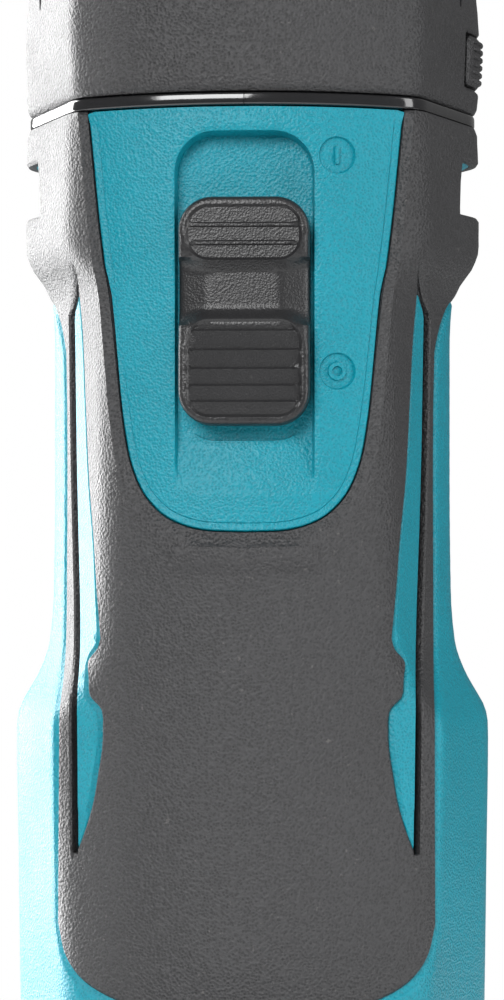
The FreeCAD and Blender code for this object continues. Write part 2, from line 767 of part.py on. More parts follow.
def build_bearing(name, bore, outer, low, height, balls):
    """A deep-groove bearing: two grooved rings and its balls."""
    path = (bore + outer) / 2
    ball = (outer - bore) * 0.27
    lip = (outer - bore) * 0.18
    middle = low + height / 2
    groove = doc.addObject("Part::Torus", name + "_groove")
    groove.Radius1, groove.Radius2 = path, ball + 0.06
    groove.Placement.Base = V(0, 0, middle)
    rings = []
    for part, inner_r, outer_r in (("outer", path + lip, outer), ("inner", bore, path - lip)):
        tube = cut(f"{name}_{part}_tube", rod(f"{name}_{part}_a", outer_r, low, low + height),
                   rod(f"{name}_{part}_b", inner_r, low - 1, low + height + 1))
        rings.append(cut(f"{name}_{part}", tube, groove))
    spheres = []
    for n in range(balls):
        turn = 2 * math.pi * n / balls
        sphere = doc.addObject("Part::Sphere", f"{name}_ball_{n}")
        sphere.Radius = ball
        sphere.Placement.Base = V(path * math.cos(turn), path * math.sin(turn), middle)
        spheres.append(sphere)
    return [*rings, group(name + "_balls", spheres)]


def build_spindle():
    """The spindle with its two bearings, the collet and the collet nut."""
    spindle = turned("spindle", [
        (0, "spindle_foot"), ("shaft_radius", "spindle_foot"), ("shaft_radius", 205), (5, 205),
        (5, "lock_level - 4"), ("nose_journal", "lock_level - 4"), ("nose_journal", 243),
        (7.6, 243), (7.6, "nose_bearing_base"), ("nose_journal", "nose_bearing_base"),
        ("nose_journal", "nose_top - 0.4"), ("spindle_flange", "nose_top - 0.4"),
        ("spindle_flange", 259), ("thread_radius", 259), ("thread_radius", "thread_top"),
        (5.5, "thread_top"), (3.4, 252), (1.9, 252), (1.9, 240), (0, 240),
    ])
    collet_block = turned("collet_block", [
        ("collet_bore", 254), (3.5, 254), (5.05, "thread_top - 1"), (5.5, "thread_top + 0.5"),
        (5.5, "thread_top + 1.5"), (4.2, "collet_top"), ("collet_bore", "collet_top"),
    ])
    slits = [
        box("collet_slit_x", (-9, 9), (-0.3, 0.3), (259, 280)),
        box("collet_slit_y", (-0.3, 0.3), (-9, 9), (259, 280)),
    ]
    collet = cut("collet", collet_block, *slits)

    nut = doc.addObject("PartDesign::Body", "nut_hexagon")
    flat = "nut_flats / 2"
    corner = "nut_flats / 1.7320508"
    half = "nut_flats / 3.4641016"
    hexagon = [(corner, 0), (half, flat), (f"-({half})", flat), (f"-({corner})", 0),
               (f"-({half})", f"-({flat})"), (half, f"-({flat})")]
    pad(nut, outline_sketch(nut, "hexagon", "XY_Plane", hexagon, "nut_base"), "nut_top - nut_base")
    nut_envelope = turned("nut_envelope", [
        ("thread_radius + 0.08", "nut_base"), (9.8, "nut_base"), (11.2, "nut_base + 1"),
        (11.2, "nut_base + 8.6"), (8.6, "nut_top - 3.2"), (8.6, "nut_top - 1"), (7.4, "nut_top"),
        (4.5, "nut_top"), (4.5, "collet_top - 0.1"), (5.75, "thread_top + 1.6"),
        (5.75, "thread_top + 0.3"), ("thread_radius + 0.08", "thread_top + 0.3"),
    ])
    collet_nut = common("collet_nut", nut, nut_envelope)
    nose_bearing = build_bearing("front_bearing", 6, 14, 246, 8, 8)
    rear_bearing = build_bearing("rear_bearing", 4, 11, 130, 7, 7)
    return [spindle, collet, collet_nut, *nose_bearing, *rear_bearing]


# ---------------------------------------------------------------- motor, fan and electronics


def build_motor():
    stator = doc.addObject("PartDesign::Body", "stator_stack")
    ring = circle_sketch(stator, "stator_ring", "stack_base", "stator_radius", "stator_radius - 3")
    pad(stator, ring, "stack_height")
    tooth = outline_sketch(
        stator, "stator_tooth", "XY_Plane",
        [("stator_radius - 2.8", -2.5), ("stator_radius - 2.8", 2.5), (14.2, 2.5), (13.6, 5),
         ("stator_bore - 1", 4.6), ("stator_bore", 0), ("stator_bore - 1", -4.6), (13.6, -5),
         (14.2, -2.5)],
        "stack_base",
    )
    polar(stator, pad(stator, tooth, "stack_height"), ring, 6)
    core = cut("stator_core", stator, rod("stator_bore_rod", "stator_bore", 140, 190))

    low, high = sheet.stack_base, sheet.stack_base + sheet.stack_height
    coil = Part.makeBox(1.9, 9.6, high - low + 8, V(14.3, -4.8, low - 4))
    coil = coil.makeFillet(1.0, [e for e in coil.Edges if e.BoundBox.XLength > 1.5])
    coil = coil.cut(Part.makeBox(4, 5.4, high - low + 0.2, V(13.5, -2.7, low - 0.1)))
    coils = []
    for n in range(6):
        turned_coil = coil.copy()
        turned_coil.rotate(V(0, 0, 0), V(0, 0, 1), 60 * n)
        coils.append(turned_coil)
    windings = solid("stator_coils", Part.makeCompound(coils))

    rotor = flat_ring("rotor_core", "shaft_radius", "rotor_radius", "stack_base - 1",
                      "stack_base + stack_height + 1")
    magnet_tube = flat_ring("magnet_tube", "rotor_radius", "magnet_radius", "stack_base",
                            "stack_base + stack_height")
    gaps = [box("magnet_gap_x", (-15, 15), (-0.8, 0.8), (140, 190)),
            box("magnet_gap_y", (-0.8, 0.8), (-15, 15), (140, 190))]
    magnets = cut("rotor_magnets", magnet_tube, *gaps)
    sensor = flat_ring("sensor_board", 6, 18.5, 144.5, 145.9)

    fan = turned("cooling_fan", [
        ("shaft_radius", "fan_base"), ("fan_radius", "fan_base"), ("fan_radius", "fan_base + 1.2"),
        (10, "fan_base + 1.2"), (7, "fan_base + 4"), (7, "fan_base + 8"),
        ("shaft_radius", "fan_base + 8"),
    ])
    blade = outline_sketch(fan, "fan_blade", "XY_Plane",
                           [(6.6, -0.5), ("fan_radius - 0.3", 2.6), ("fan_radius - 0.3", 3.6), (6.6, 0.5)],
                           "fan_base + 1")
    polar(fan, pad(fan, blade, 6.6), blade, 11)
    return [core, windings, rotor, magnets, sensor, fan]


def build_baffle():
    """The plate that parts the fan's room from the motor's."""
    room = skin("baffle_room", BODY, sheet.grip_skin + sheet.shell_wall + 0.15)
    slab = cut("baffle_slab", box("baffle_block", (-45, 45), (-45, 45), (184.4, 186)),
               rod("baffle_hole", 13.5, 180, 190),
               box("baffle_lane", ("-recess_half - 2.5", "recess_half + 2.5"), (-60, -20.5), (180, 190)))
    return common("fan_baffle", slab, room)


def lead(points, radius):
    """A wire of one radius along straight runs joined by tangent arcs."""
    corners = [V(*p) for p in points]
    edges, start = [], corners[0]
    for before, corner, after in zip(corners, corners[1:], corners[2:]):
        back, ahead = (before - corner), (after - corner)
        run = 0.45 * min(back.Length, ahead.Length)
        entry = corner + back.normalize() * run
        leave = corner + ahead.normalize() * run
        turn = (back + ahead).normalize()
        half = back.getAngle(turn)
        bend = run * math.tan(half)
        middle = corner + turn * (run / math.cos(half) - bend)
        edges.append(Part.LineSegment(start, entry).toShape())
        edges.append(Part.Arc(entry, middle, leave).toShape())
        start = leave
    edges.append(Part.LineSegment(start, corners[-1]).toShape())
    path = Part.Wire(edges)
    first = (corners[1] - corners[0]).normalize()
    circle = Part.Wire(Part.makeCircle(radius, corners[0], first))
    return path.makePipeShell([circle], True, False)


def build_electronics():
    tray = cut(
        "controller_tray",
        box("tray_outer", (-21, 21), (-8, 6), (68, 103)),
        box("tray_inner", (-19.5, 19.5), (-9, 4.5), (69.5, 101.5)),
        box("lead_gate", (-6.5, 6.5), (-9, 7), (101, 104)),
        *[rod(f"lead_hole_{n}", 0.9, 4, 7, (x, 78), "y") for n, x in enumerate((-12, 12))],
    )
    board = box("controller_board", (-19.2, 19.2), (1.2, 2.8), (69.8, 101.2))
    mosfets = group("power_transistors", [
        box(f"transistor_{n}", (x, x + 5), (-0.4, 1.15), (z, z + 6))
        for n, (x, z) in enumerate([(-16, 74), (-9, 74), (-2, 74), (-16, 86), (-9, 86), (-2, 86)])
    ])
    capacitor = rod("filter_capacitor", 4, 74, 94, (12.5, -3.2))
    motor_leads = solid("motor_leads", Part.makeCompound([
        lead([(x, 16.5, 144.4), (x, 16.5, 128), (x, 15.6, 116), (0.8 * x, 8, 107),
              (0.8 * x, 3.65, 103), (0.8 * x, 3.65, 97)], 0.8)
        for x in (-5, 0, 5)
    ]))
    switch_leads = solid("switch_leads", Part.makeCompound([
        lead([(x, -11.5, 102.4), (x, -11.5, 96), (x, 1.1, 96)], 0.8)
        for x in (-3, 3)
    ]))
    battery_leads = solid("battery_leads", Part.makeCompound([
        lead([(x, 16.5, 60.1), (x, 16.5, 78), (x, 2.9, 78)], 0.7)
        for x in (-12, 12)
    ]))
    return [tray, board, mosfets, capacitor, motor_leads, switch_leads, battery_leads]


# ---------------------------------------------------------------- foot and battery pack


def build_foot():
    """The receiver plate that the pack's rails run in, with the terminal block and its blades."""
    room = skin("receiver_room", BODY, sheet.grip_skin + sheet.shell_wall + 0.1)
    slab = common("receiver_slab", room,
                  box("receiver_block", (-50, 50), ("tower_back + 1", 50), ("foot_base", "rail_top + 3.6")))
    channel = [
        box("channel_neck", ("-rail_neck - 0.3", "rail_neck + 0.3"), (-60, "rail_end + 0.4"),
            ("foot_base - 1", "rail_top + 0.3")),
        box("channel_wide", ("-rail_half - 0.3", "rail_half + 0.3"), (-60, "rail_end - 7.6"),
            ("rail_lip - 0.3", "rail_top + 0.3")),
        box("block_window", (-17.1, 17.1), (9.9, "rail_end + 0.5"), ("rail_top - 1", 56)),
    ]
    receiver = cut("battery_receiver", slab, *channel)
    block = box("terminal_block", (-17, 17), (10, "rail_end + 0.3"), ("rail_top + 0.4", 60))
    blades = group("terminal_blades", [
        fuse(f"blade_{n}",
             box(f"blade_flag_{n}", (x - 0.5, x + 0.5), (11, 22), (45, "rail_top + 0.3")),
             box(f"blade_head_{n}", (x - 2, x + 2), (11, 22), ("rail_top + 0.1", "rail_top + 0.4")))
        for n, x in enumerate((-12, 0, 12))
    ])
    return [receiver, block, blades]


def pack_plan(inset, corner):
    """The pack's rounded outline, drawn in X and Y."""
    half = sheet.pack_half - inset
    front, back = sheet.pack_front + inset, sheet.pack_back - inset
    box_shape = Part.makeBox(2 * half, back - front, 60, V(-half, front, 0))
    upright = [e for e in box_shape.Edges if e.BoundBox.ZLength > 50]
    return box_shape.makeFillet(corner, upright)


def build_pack():
    split, height, wall = sheet.pack_split, sheet.pack_height, sheet.pack_wall
    outer = solid("pack_outer", pack_plan(0, sheet.pack_corner))
    hollow = solid("pack_hollow", pack_plan(wall, sheet.pack_corner - wall))
    base_outer = common("base_outer", outer, box("base_slab", (-50, 50), (-60, 80), (0, split)))
    base_hollow = common("base_hollow", hollow, box("base_room", (-50, 50), (-60, 80), (wall, split + 1)))
    corners = [(x, y) for x in (-32, 32) for y in (-40.5, 60.5)]
    posts = [rod(f"pack_post_{n}", 3.6, 1, "pack_split", p) for n, p in enumerate(corners)]
    base = cut(
        "pack_base",
        fuse("base_body", cut("base_tub", base_outer, base_hollow),
             common("base_posts", fuse("base_post_set", *posts), outer)),
        *[rod(f"pack_drill_{n}", "screw_radius + 0.3", -1, 30, p) for n, p in enumerate(corners)],
        *[rod(f"pack_sink_{n}", "screw_head + 0.2", -1, 4.5, p) for n, p in enumerate(corners)],
    )
    cap_outer = common("cap_outer", outer, box("cap_slab", (-50, 50), (-60, 80), (split + 0.05, height)))
    cap_hollow = common("cap_hollow", hollow, box("cap_room", (-50, 50), (-60, 80), (split - 1, height - wall)))
    cap_posts = [rod(f"cap_post_{n}", 3.6, "pack_split + 0.05", "pack_height - 1", p)
                 for n, p in enumerate(corners)]
    tower = box("tower", ("-tower_half", "tower_half"), ("pack_front + 0.4", "tower_back"),
                ("pack_height - 2.2", "tower_top"))
    rails = fuse(
        "rails",
        box("rail_stem", ("-rail_neck", "rail_neck"), ("tower_back - 1", "rail_end - 6"),
            ("pack_height - 1", "rail_top")),
        box("rail_nose", ("-rail_neck + 6", "rail_neck - 6"), ("rail_end - 7", "rail_end"),
            ("pack_height - 1", "rail_top")),
        box("rail_wings", ("-rail_half", "rail_half"), ("tower_back - 1", "rail_end - 8"),
            ("rail_lip", "rail_top")),
    )
    button_room = box("button_room", (-11.3, 11.3), (-60, "pack_front + 10.5"), (30.3, "tower_top - 2"))
    contact_slots = [box(f"contact_slot_{n}", (x - 1.1, x + 1.1), (5, 30), (43.6, "rail_top + 1"))
                     for n, x in enumerate((-12, 0, 12))]
    latch_hole = box("latch_hole", (-8.3, 8.3), ("pack_front + 10", "tower_back + 1.2"),
                     ("pack_height + 0.2", 60))
    shelf = fuse(
        "button_shelf",
        box("shelf_floor", (-12.5, 12.5), ("pack_front + 1", "pack_front + 12"), (28.3, 30.3)),
        box("shelf_back", (-12.5, 12.5), ("pack_front + 10.5", "pack_front + 12"), (28.3, 40)),
    )
    cap = cut(
        "pack_cover",
        fuse("cap_body", cut("cap_tub", cap_outer, cap_hollow),
             common("cap_posts", fuse("cap_post_set", *cap_posts), outer), tower, rails, shelf),
        button_room, *contact_slots, latch_hole,
        *[rod(f"cap_drill_{n}", "screw_radius + 0.05", 20, 38, p) for n, p in enumerate(corners)],
    )
    screws = group("pack_screws", [
        fuse(f"pack_screw_{n}", rod(f"pack_shank_{n}", "screw_radius", 2, 36, p),
             rod(f"pack_head_{n}", "screw_head - 0.4", 2, 4.4, p))
        for n, p in enumerate(corners)
    ])
    return [base, cap, screws, *build_pack_inside(), *build_pack_button()]


def build_pack_inside():
    radius, length = "cell_radius", sheet.cell_length
    rows = [10 + 18.8 * (n - 2) for n in range(5)]
    cells = group("battery_cells", [
        rod(f"cell_{n}", radius, -length / 2, length / 2, (y, 12.4), "x") for n, y in enumerate(rows)
    ])
    combs = []
    for n, (low, high) in enumerate(((-27, -23), (23, 27))):
        block = box(f"comb_block_{n}", (low, high), (-37.6, 58.2), (2.4, 23.6))
        holes = [rod(f"comb_hole_{n}_{k}", "cell_radius + 0.1", low - 1, high + 1, (y, 12.4), "x")
                 for k, y in enumerate(rows)]
        combs.append(cut(f"comb_{n}", block, *holes))
    frame = group("cell_frame", combs)
    straps = group("cell_straps", [
        box(f"strap_{n}", (x, x + 0.3), (y, y + 27), (8.5, 16.5))
        for n, (x, y) in enumerate([(32.6, -32), (32.6, 6), (-32.9, -13), (-32.9, 25)])
    ])
    board = box("pack_board", (-24, 24), (-20, 50), (27, 28.4))
    contacts = group("pack_contacts", [
        box(f"contact_{n}_{side}", (x + low, x + low + 0.35), (8, 22), (43.7, 48.8))
        for n, x in enumerate((-12, 0, 12)) for side, low in (("a", -1.0), ("b", 0.65))
    ])
    return [cells, frame, straps, board, contacts]


def build_pack_button():
    """The release button on the pack's front, with its latch nose and spring."""
    front = "pack_front"
    button = fuse(
        "release_button",
        box("button_face", (-11, 11), (f"{front} + 0.2", f"{front} + 3.4"), (35, "tower_top - 2.3")),
        box("button_web", (-8, 8), (f"{front} + 3.2", "tower_back + 0.7"), (45.5, 49)),
        box("latch_nose", (-8, 8), ("tower_back - 3", "tower_back + 0.7"), (48.8, "tower_top + 0.9")),
    )
    coil = Part.makeHelix(2.39, 14.3, 2.6)
    wire_end = Part.Wire(Part.makeCircle(0.4, V(2.6, 0, 0), V(0, 1, 0)))
    spring = solid("release_spring", Part.Wire(coil).makePipeShell([wire_end], True, True))
    spring.Placement = FreeCAD.Placement(V(0, sheet.pack_front + 6.8, 30.75), FreeCAD.Rotation())
    return [button, spring]


def build_fasteners():
    housing = group("housing_screws", [
        fuse(f"housing_screw_{n}", rod(f"housing_shank_{n}", "screw_radius", -16, "screw_seat", p, "x"),
             rod(f"housing_head_{n}", "screw_head", "screw_seat", "screw_seat + 2.4", p, "x"))
        for n, p in enumerate(SCREW_PLACES)
    ])
    nose = group("nose_screws", [
        fuse(f"nose_screw_{n}", rod(f"nose_shank_{n}", "screw_radius", 198, "cover_base + 4", p),
             rod(f"nose_head_{n}", 2.8, "cover_base + 4", "cover_base + 6.6", p))
        for n, p in enumerate(NOSE_SCREW_PLACES)
    ])
    return [housing, nose]


# ---------------------------------------------------------------- putting it together


def check_document():
    broken = [o.Name for o in doc.Objects if any(s in ("Invalid", "Error") for s in o.State)]
    if broken:
        raise RuntimeError(f"these objects failed: {broken}")


def export(nodes):
    os.makedirs("parts", exist_ok=True)
    for name in os.listdir("parts"):
        os.remove(os.path.join("parts", name))
    for node in nodes:
        shape = node.Shape
        if shape.isNull() or not shape.isValid() or not shape.Solids:
            raise RuntimeError(f"{node.Label} has no valid solid")
        shape.exportStep(f"parts/{node.Label}.step")
        print(f"{node.Label}: {len(shape.Solids)} solid(s), {shape.Volume / 1000:.2f} cm3")


def main():
    case = build_case()
    nodes = [
        *case,
        build_switch_panel(),
        *build_switch(),
        *build_head(),
        *build_lock(),
        *build_spindle(),
        *build_motor(),
        build_baffle(),
        *build_electronics(),
        *build_foot(),
        *build_pack(),
        *build_fasteners(),
    ]
    doc.recompute()
    check_document()
    export(nodes)


main()
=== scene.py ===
import json
import math

import bmesh
import bpy
import numpy as np
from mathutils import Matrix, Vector
from mathutils.geometry import delaunay_2d_cdt


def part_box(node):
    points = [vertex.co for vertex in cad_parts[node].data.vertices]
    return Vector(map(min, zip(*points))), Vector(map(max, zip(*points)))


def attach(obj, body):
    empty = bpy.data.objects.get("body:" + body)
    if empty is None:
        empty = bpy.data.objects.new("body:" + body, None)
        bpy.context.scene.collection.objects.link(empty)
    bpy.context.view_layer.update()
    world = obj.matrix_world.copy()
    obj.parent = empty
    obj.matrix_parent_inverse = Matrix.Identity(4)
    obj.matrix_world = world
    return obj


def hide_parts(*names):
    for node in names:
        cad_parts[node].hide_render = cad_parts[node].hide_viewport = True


# Looks for the cordless rotary tool. The moulded shells are rebuilt as closed meshes: each is drawn on the
# unrolled skin, where q runs round the body from the front seam and z runs up the spindle, and then wrapped
# onto the same section as the CAD. Everything else keeps its CAD node. All lengths here are millimetres
# until a mesh is written.

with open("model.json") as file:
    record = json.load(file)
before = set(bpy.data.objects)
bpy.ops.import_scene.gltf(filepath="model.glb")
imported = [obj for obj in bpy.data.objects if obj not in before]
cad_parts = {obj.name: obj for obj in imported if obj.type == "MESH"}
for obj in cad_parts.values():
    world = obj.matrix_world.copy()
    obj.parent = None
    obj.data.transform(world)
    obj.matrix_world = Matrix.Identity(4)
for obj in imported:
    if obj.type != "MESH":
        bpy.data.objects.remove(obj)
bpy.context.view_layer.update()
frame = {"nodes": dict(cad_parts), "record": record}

MM = 0.001
AROUND = 110.0  # q at the back seam
SLANT = math.radians(24.6)  # of the flat run between a section's edge and its round side
FRONT_ARC, BACK_ARC = 58.0, 50.0  # radii of the two faces
HOUSING_FOOT = 42.5
GRIP_START, PANEL_START = 65.2, 140.9  # the lowest points of the grip and of the panel
SHOULDER_TOP, COVER_BASE = 207.2, 209.5  # below and above the neck ring
LOCK_HEIGHT = 218.0  # middle of the lock button
GRIP_INSIDE, SHELL_INSIDE = -1.6, -3.8  # inner faces of the rubber and of the shells, from the skin
SHARP = math.radians(34)  # an edge that turns further than this stays sharp
WORLD_LIGHT = 0.22
FLOOR_RADIUS = 0.32  # metres, and small enough to stay under the camera's view

# Half widths and depths of the section at each height, and the radii of its two corners.
BODY = dict(
    z=[42.5, 66, 88, 107, 110, 112.2, 115, 118.2, 122.5,
       131, 150, 171, 177.6, 181.2, 184.4, 187.5, 197, 207.2],
    width=[38.2, 38.6, 38.9, 39.15, 39.05, 38.4, 36.8, 35.1, 33.7,
           33.0, 32.8, 32.8, 33.1, 34.4, 36.6, 37.6, 37.6, 37.3],
    front=[32.5, 32.3, 31.2, 30.0, 29.9, 29.8, 29.6, 29.5, 29.4,
           29.2, 29.3, 29.7, 29.9, 30.0, 30.1, 30.2, 30.4, 30.5],
    back=[35.0, 34.5, 33.0, 31.3, 31.1, 31.0, 30.7, 30.5, 30.3,
          30.0, 30.0, 30.0, 30.1, 30.2, 30.3, 30.3, 30.3, 30.2],
    edge=8.0, side=12.0,
)
HEAD = dict(
    z=[209.5, 214, 221, 229, 234, 238.5, 242.5, 245.2],
    width=[37.2, 37.6, 37.9, 37.4, 36.3, 34.2, 31.4, 28.6],
    front=[30.7, 31.0, 31.0, 30.6, 29.9, 28.7, 27.2, 25.9],
    back=[30.4, 30.7, 30.7, 30.4, 29.8, 28.7, 27.2, 25.9],
    edge=5.0, side=9.0,
)
HEAD_TOP, HEAD_MOUTH, MOUTH_RADIUS = 245.2, 250.0, 21.75  # the cover narrows from its top to its mouth


# ------------------------------------------------------------------ the skin


def monotone(xs, ys):
    """A smooth curve through the levels that never overshoots them."""
    xs, ys = np.array(xs, float), np.array(ys, float)
    step, slope = np.diff(xs), np.diff(ys) / np.diff(xs)
    tangent = np.zeros(len(xs))
    tangent[0], tangent[-1] = slope[0], slope[-1]
    for n in range(1, len(xs) - 1):
        if slope[n - 1] * slope[n] > 0:
            a, b = 2 * step[n] + step[n - 1], step[n] + 2 * step[n - 1]
            tangent[n] = (a + b) / (a / slope[n - 1] + b / slope[n])

    def at(x):
        x = np.clip(x, xs[0], xs[-1])
        n = np.clip(np.searchsorted(xs, x) - 1, 0, len(xs) - 2)
        t = (x - xs[n]) / step[n]
        rise = (2 * t**3 - 3 * t**2 + 1) * ys[n] + (3 * t**2 - 2 * t**3) * ys[n + 1]
        return rise + step[n] * ((t**3 - 2 * t**2 + t) * tangent[n] + (t**3 - t**2) * tangent[n + 1])

    return at


for section in (BODY, HEAD):
    for measure in ("width", "front", "back"):
        section[measure] = monotone(section["z"], section[measure])


def quarter(arc, depth, reach, edge, side):
    """Lengths and centres of the four runs of a quarter section: face, edge, slanted side and round side.

    Adding 0 * middle gives a single number one value for each height.
    """
    cos, sin = math.cos(SLANT), math.sin(SLANT)
    drop, radius, near = arc - depth, arc - edge, reach - edge
    a, b = 1 / cos**2, drop - near * sin / cos**2
    c = (near / cos) ** 2 + drop**2 - radius**2
    deep = (-b + np.sqrt(b * b - a * c)) / a
    across = (near - deep * sin) / cos
    turn = np.arctan2(deep + drop, across)
    middle = (reach - side) / cos
    start = np.stack([across + edge * cos, deep + edge * sin])
    end = np.stack([middle + side * cos, side * sin + 0 * middle])
    runs = [arc * (math.pi / 2 - turn), edge * (turn - SLANT), np.hypot(*(end - start)),
            side * SLANT + 0 * middle]
    return dict(arc=arc, drop=drop, across=across, deep=deep, turn=turn, middle=middle, start=start,
                end=end, runs=runs, edge=edge, side=side, total=sum(runs))


def along(quart, s):
    """Point and outward normal at a distance s from the middle of the face."""
    one, two, three, _ = quart["runs"]
    angle_face = math.pi / 2 - s / quart["arc"]
    angle_edge = quart["turn"] - (s - one) / quart["edge"]
    share = (s - one - two) / three
    angle_side = SLANT - (s - one - two - three) / quart["side"]
    part = [s <= one, s <= one + two, s <= one + two + three]
    angle = np.select(part, [angle_face, angle_edge, SLANT + 0 * s], angle_side)
    cos, sin = np.cos(angle), np.sin(angle)
    line = quart["start"] + (quart["end"] - quart["start"]) * share
    x = np.select(part, [quart["arc"] * cos, quart["across"] + quart["edge"] * cos, line[0]],
                  quart["middle"] + quart["side"] * cos)
    deep = np.select(part, [quart["arc"] * sin - quart["drop"], quart["deep"] + quart["edge"] * sin,
                            line[1]], quart["side"] * sin)
    return x, deep, cos, sin


def quarters(levels, z):
    width, front, back = levels["width"](z), levels["front"](z), levels["back"](z)
    reach = (width - levels["side"]) * math.cos(SLANT) + levels["side"]
    sizes = (reach, levels["edge"], levels["side"])
    return quarter(FRONT_ARC, front, *sizes), quarter(BACK_ARC, back, *sizes)


def wrap(levels, q, z, height):
    """Points of the unrolled skin, raised by height along its normal, as rows of x, y, z."""
    q, z = np.asarray(q, float), np.asarray(z, float)
    ahead, behind = quarters(levels, z)
    half = ahead["total"] + behind["total"]
    s = np.abs(q) / AROUND * half
    x1, v1, nx1, nv1 = along(ahead, np.minimum(s, ahead["total"]))
    x2, v2, nx2, nv2 = along(behind, np.minimum(half - s, behind["total"]))
    front = s <= ahead["total"]
    x = np.where(front, x1 + nx1 * height, x2 + nx2 * height) * np.where(q < 0, -1, 1)
    y = np.where(front, -(v1 + nv1 * height), v2 + nv2 * height)
    return np.stack([x, y, z], 1)


def q_at(x, z, back=False, levels=BODY):
    """The q of points given by their x and z, on the front or back half."""
    x, z = np.atleast_1d(np.asarray(x, float)), np.atleast_1d(np.asarray(z, float))
    ahead, behind = quarters(levels, z)
    side = behind if back else ahead
    found = []
    for n in range(len(x)):
        one = {key: (value[..., n] if isinstance(value, np.ndarray) else value)
               for key, value in side.items() if key != "runs"}
        one["runs"] = [np.atleast_1d(r)[n] if np.ndim(r) else r for r in side["runs"]]
        s = np.linspace(0, one["total"], 200)
        one["start"], one["end"] = one["start"].reshape(2, 1), one["end"].reshape(2, 1)
        found.append(np.interp(abs(x[n]), along(one, s)[0], s))
    q = np.array(found) / (ahead["total"] + behind["total"]) * AROUND
    return np.where(x < 0, -1, 1) * (AROUND - q if back else q)


def q_side(z, levels=BODY):
    """The q of the widest point."""
    ahead, behind = quarters(levels, np.atleast_1d(np.asarray(z, float)))
    return ahead["total"] / (ahead["total"] + behind["total"]) * AROUND


# ------------------------------------------------------------------ outlines


def curve(points, step=0.8):
    """A smooth line through points, with round corners where they turn."""
    p = np.array(points, float)
    p = np.vstack([2 * p[0] - p[1], p, 2 * p[-1] - p[-2]])
    rows = []
    for n in range(1, len(p) - 2):
        count = max(2, int(np.hypot(*(p[n + 1] - p[n])) / step))
        t = np.linspace(0, 1, count, endpoint=False)[:, None]
        a, b, c, d = p[n - 1], p[n], p[n + 1], p[n + 2]
        k1, k2 = np.hypot(*(b - a)), np.hypot(*(c - b))
        k3 = np.hypot(*(d - c))
        m1 = ((b - a) / k1 * k2 + (c - b)) / 2
        m2 = ((c - b) + (d - c) / k3 * k2) / 2
        rows.append((2 * t**3 - 3 * t**2 + 1) * b + (t**3 - 2 * t**2 + t) * m1
                    + (3 * t**2 - 2 * t**3) * c + (t**3 - t**2) * m2)
    return np.vstack(rows + [p[-2:-1]])


def line(points, step=0.8):
    """A broken line through points, divided into steps."""
    p = np.array(points, float)
    rows = []
    for a, b in zip(p, p[1:]):
        count = max(1, int(np.hypot(*(b - a)) / step))
        rows.append(a + (b - a) * np.linspace(0, 1, count, endpoint=False)[:, None])
    return np.vstack(rows + [p[-1:]])


def rounded(half_x, low, high, radius, x=0.0, step=0.6):
    """A closed rectangle with round corners."""
    rows = []
    for n, (sx, z) in enumerate(((1, low), (1, high), (-1, high), (-1, low))):
        centre = np.array([x + sx * (half_x - radius), low + radius if z == low else high - radius])
        turns = np.radians(np.linspace(-90 + 90 * n, 90 * n, max(3, int(radius * 1.6 / step) + 1)))
        rows.append(centre + radius * np.stack([np.cos(turns), np.sin(turns)], 1))
    loop = np.vstack(rows + [rows[0][:1]])
    return line(loop, step)[:-1]


def circle(x, z, radius, count=40):
    """A closed circle."""
    turns = np.linspace(0, 2 * math.pi, count, endpoint=False)
    return np.stack([x + radius * np.cos(turns), z + radius * np.sin(turns)], 1)


STILL_AWAY = 0.93  # of the width asked for


def moved(path, width, closed=False):
    """The line a given distance to the left of a path; width may differ at each point.

    Points that a sharp bend brings back towards the path are left out.
    """
    p = np.asarray(path, float)
    if closed:
        ahead, back = np.roll(p, -1, 0), np.roll(p, 1, 0)
    else:
        ahead = np.vstack([p[1:], 2 * p[-1] - p[-2]])
        back = np.vstack([2 * p[0] - p[1], p[:-1]])
    run = ahead - back
    run /= np.hypot(run[:, 0], run[:, 1])[:, None]
    made = p + np.stack([-run[:, 1], run[:, 0]], 1) * np.reshape(width, (-1, 1))
    far = away(made, p, closed) > np.abs(np.broadcast_to(np.ravel(width), len(p))) * STILL_AWAY
    return made[far]


AT_ONCE = 4000  # points, to bound the memory


def away(points, path, closed=False):
    """Distance of each point from a path."""
    p = np.asarray(path, float)
    a = p if closed else p[:-1]
    b = np.roll(p, -1, 0) if closed else p[1:]
    least = np.full(len(points), np.inf)
    for start in range(0, len(points), AT_ONCE):
        some = points[start:start + AT_ONCE, None, :]
        run = b - a
        share = ((some - a) * run).sum(2) / np.maximum((run * run).sum(1), 1e-12)
        near = a + run * np.clip(share, 0, 1)[..., None]
        least[start:start + AT_ONCE] = np.sqrt(((some - near) ** 2).sum(2)).min(1)
    return least


def within(points, loop):
    """True for each point inside a closed loop."""
    x, z = points[:, 0][:, None], points[:, 1][:, None]
    ax, az = loop[:, 0], loop[:, 1]
    bx, bz = np.roll(ax, -1), np.roll(az, -1)
    crosses = (az > z) != (bz > z)
    with np.errstate(divide="ignore", invalid="ignore"):
        at = ax + (z - az) * (bx - ax) / (bz - az)
    return (crosses & (x < at)).sum(1) % 2 == 1


def inside_depth(points, loop):
    """Distance from a loop, positive inside it."""
    return np.where(within(points, loop), 1, -1) * away(points, loop, True)


def ramp(value, *stops):
    """A broken line through (value, result) stops."""
    return np.interp(value, [s[0] for s in stops], [s[1] for s in stops])


def offsets(path, closed, *widths):
    """Lines at each distance on both sides of a path, each with whether it is closed."""
    made = []
    for width in widths:
        for turn in (1, -1):
            near = moved(path, turn * width, closed)
            if len(near) > 4:
                made.append((near, closed and len(near) == len(path)))
    return made


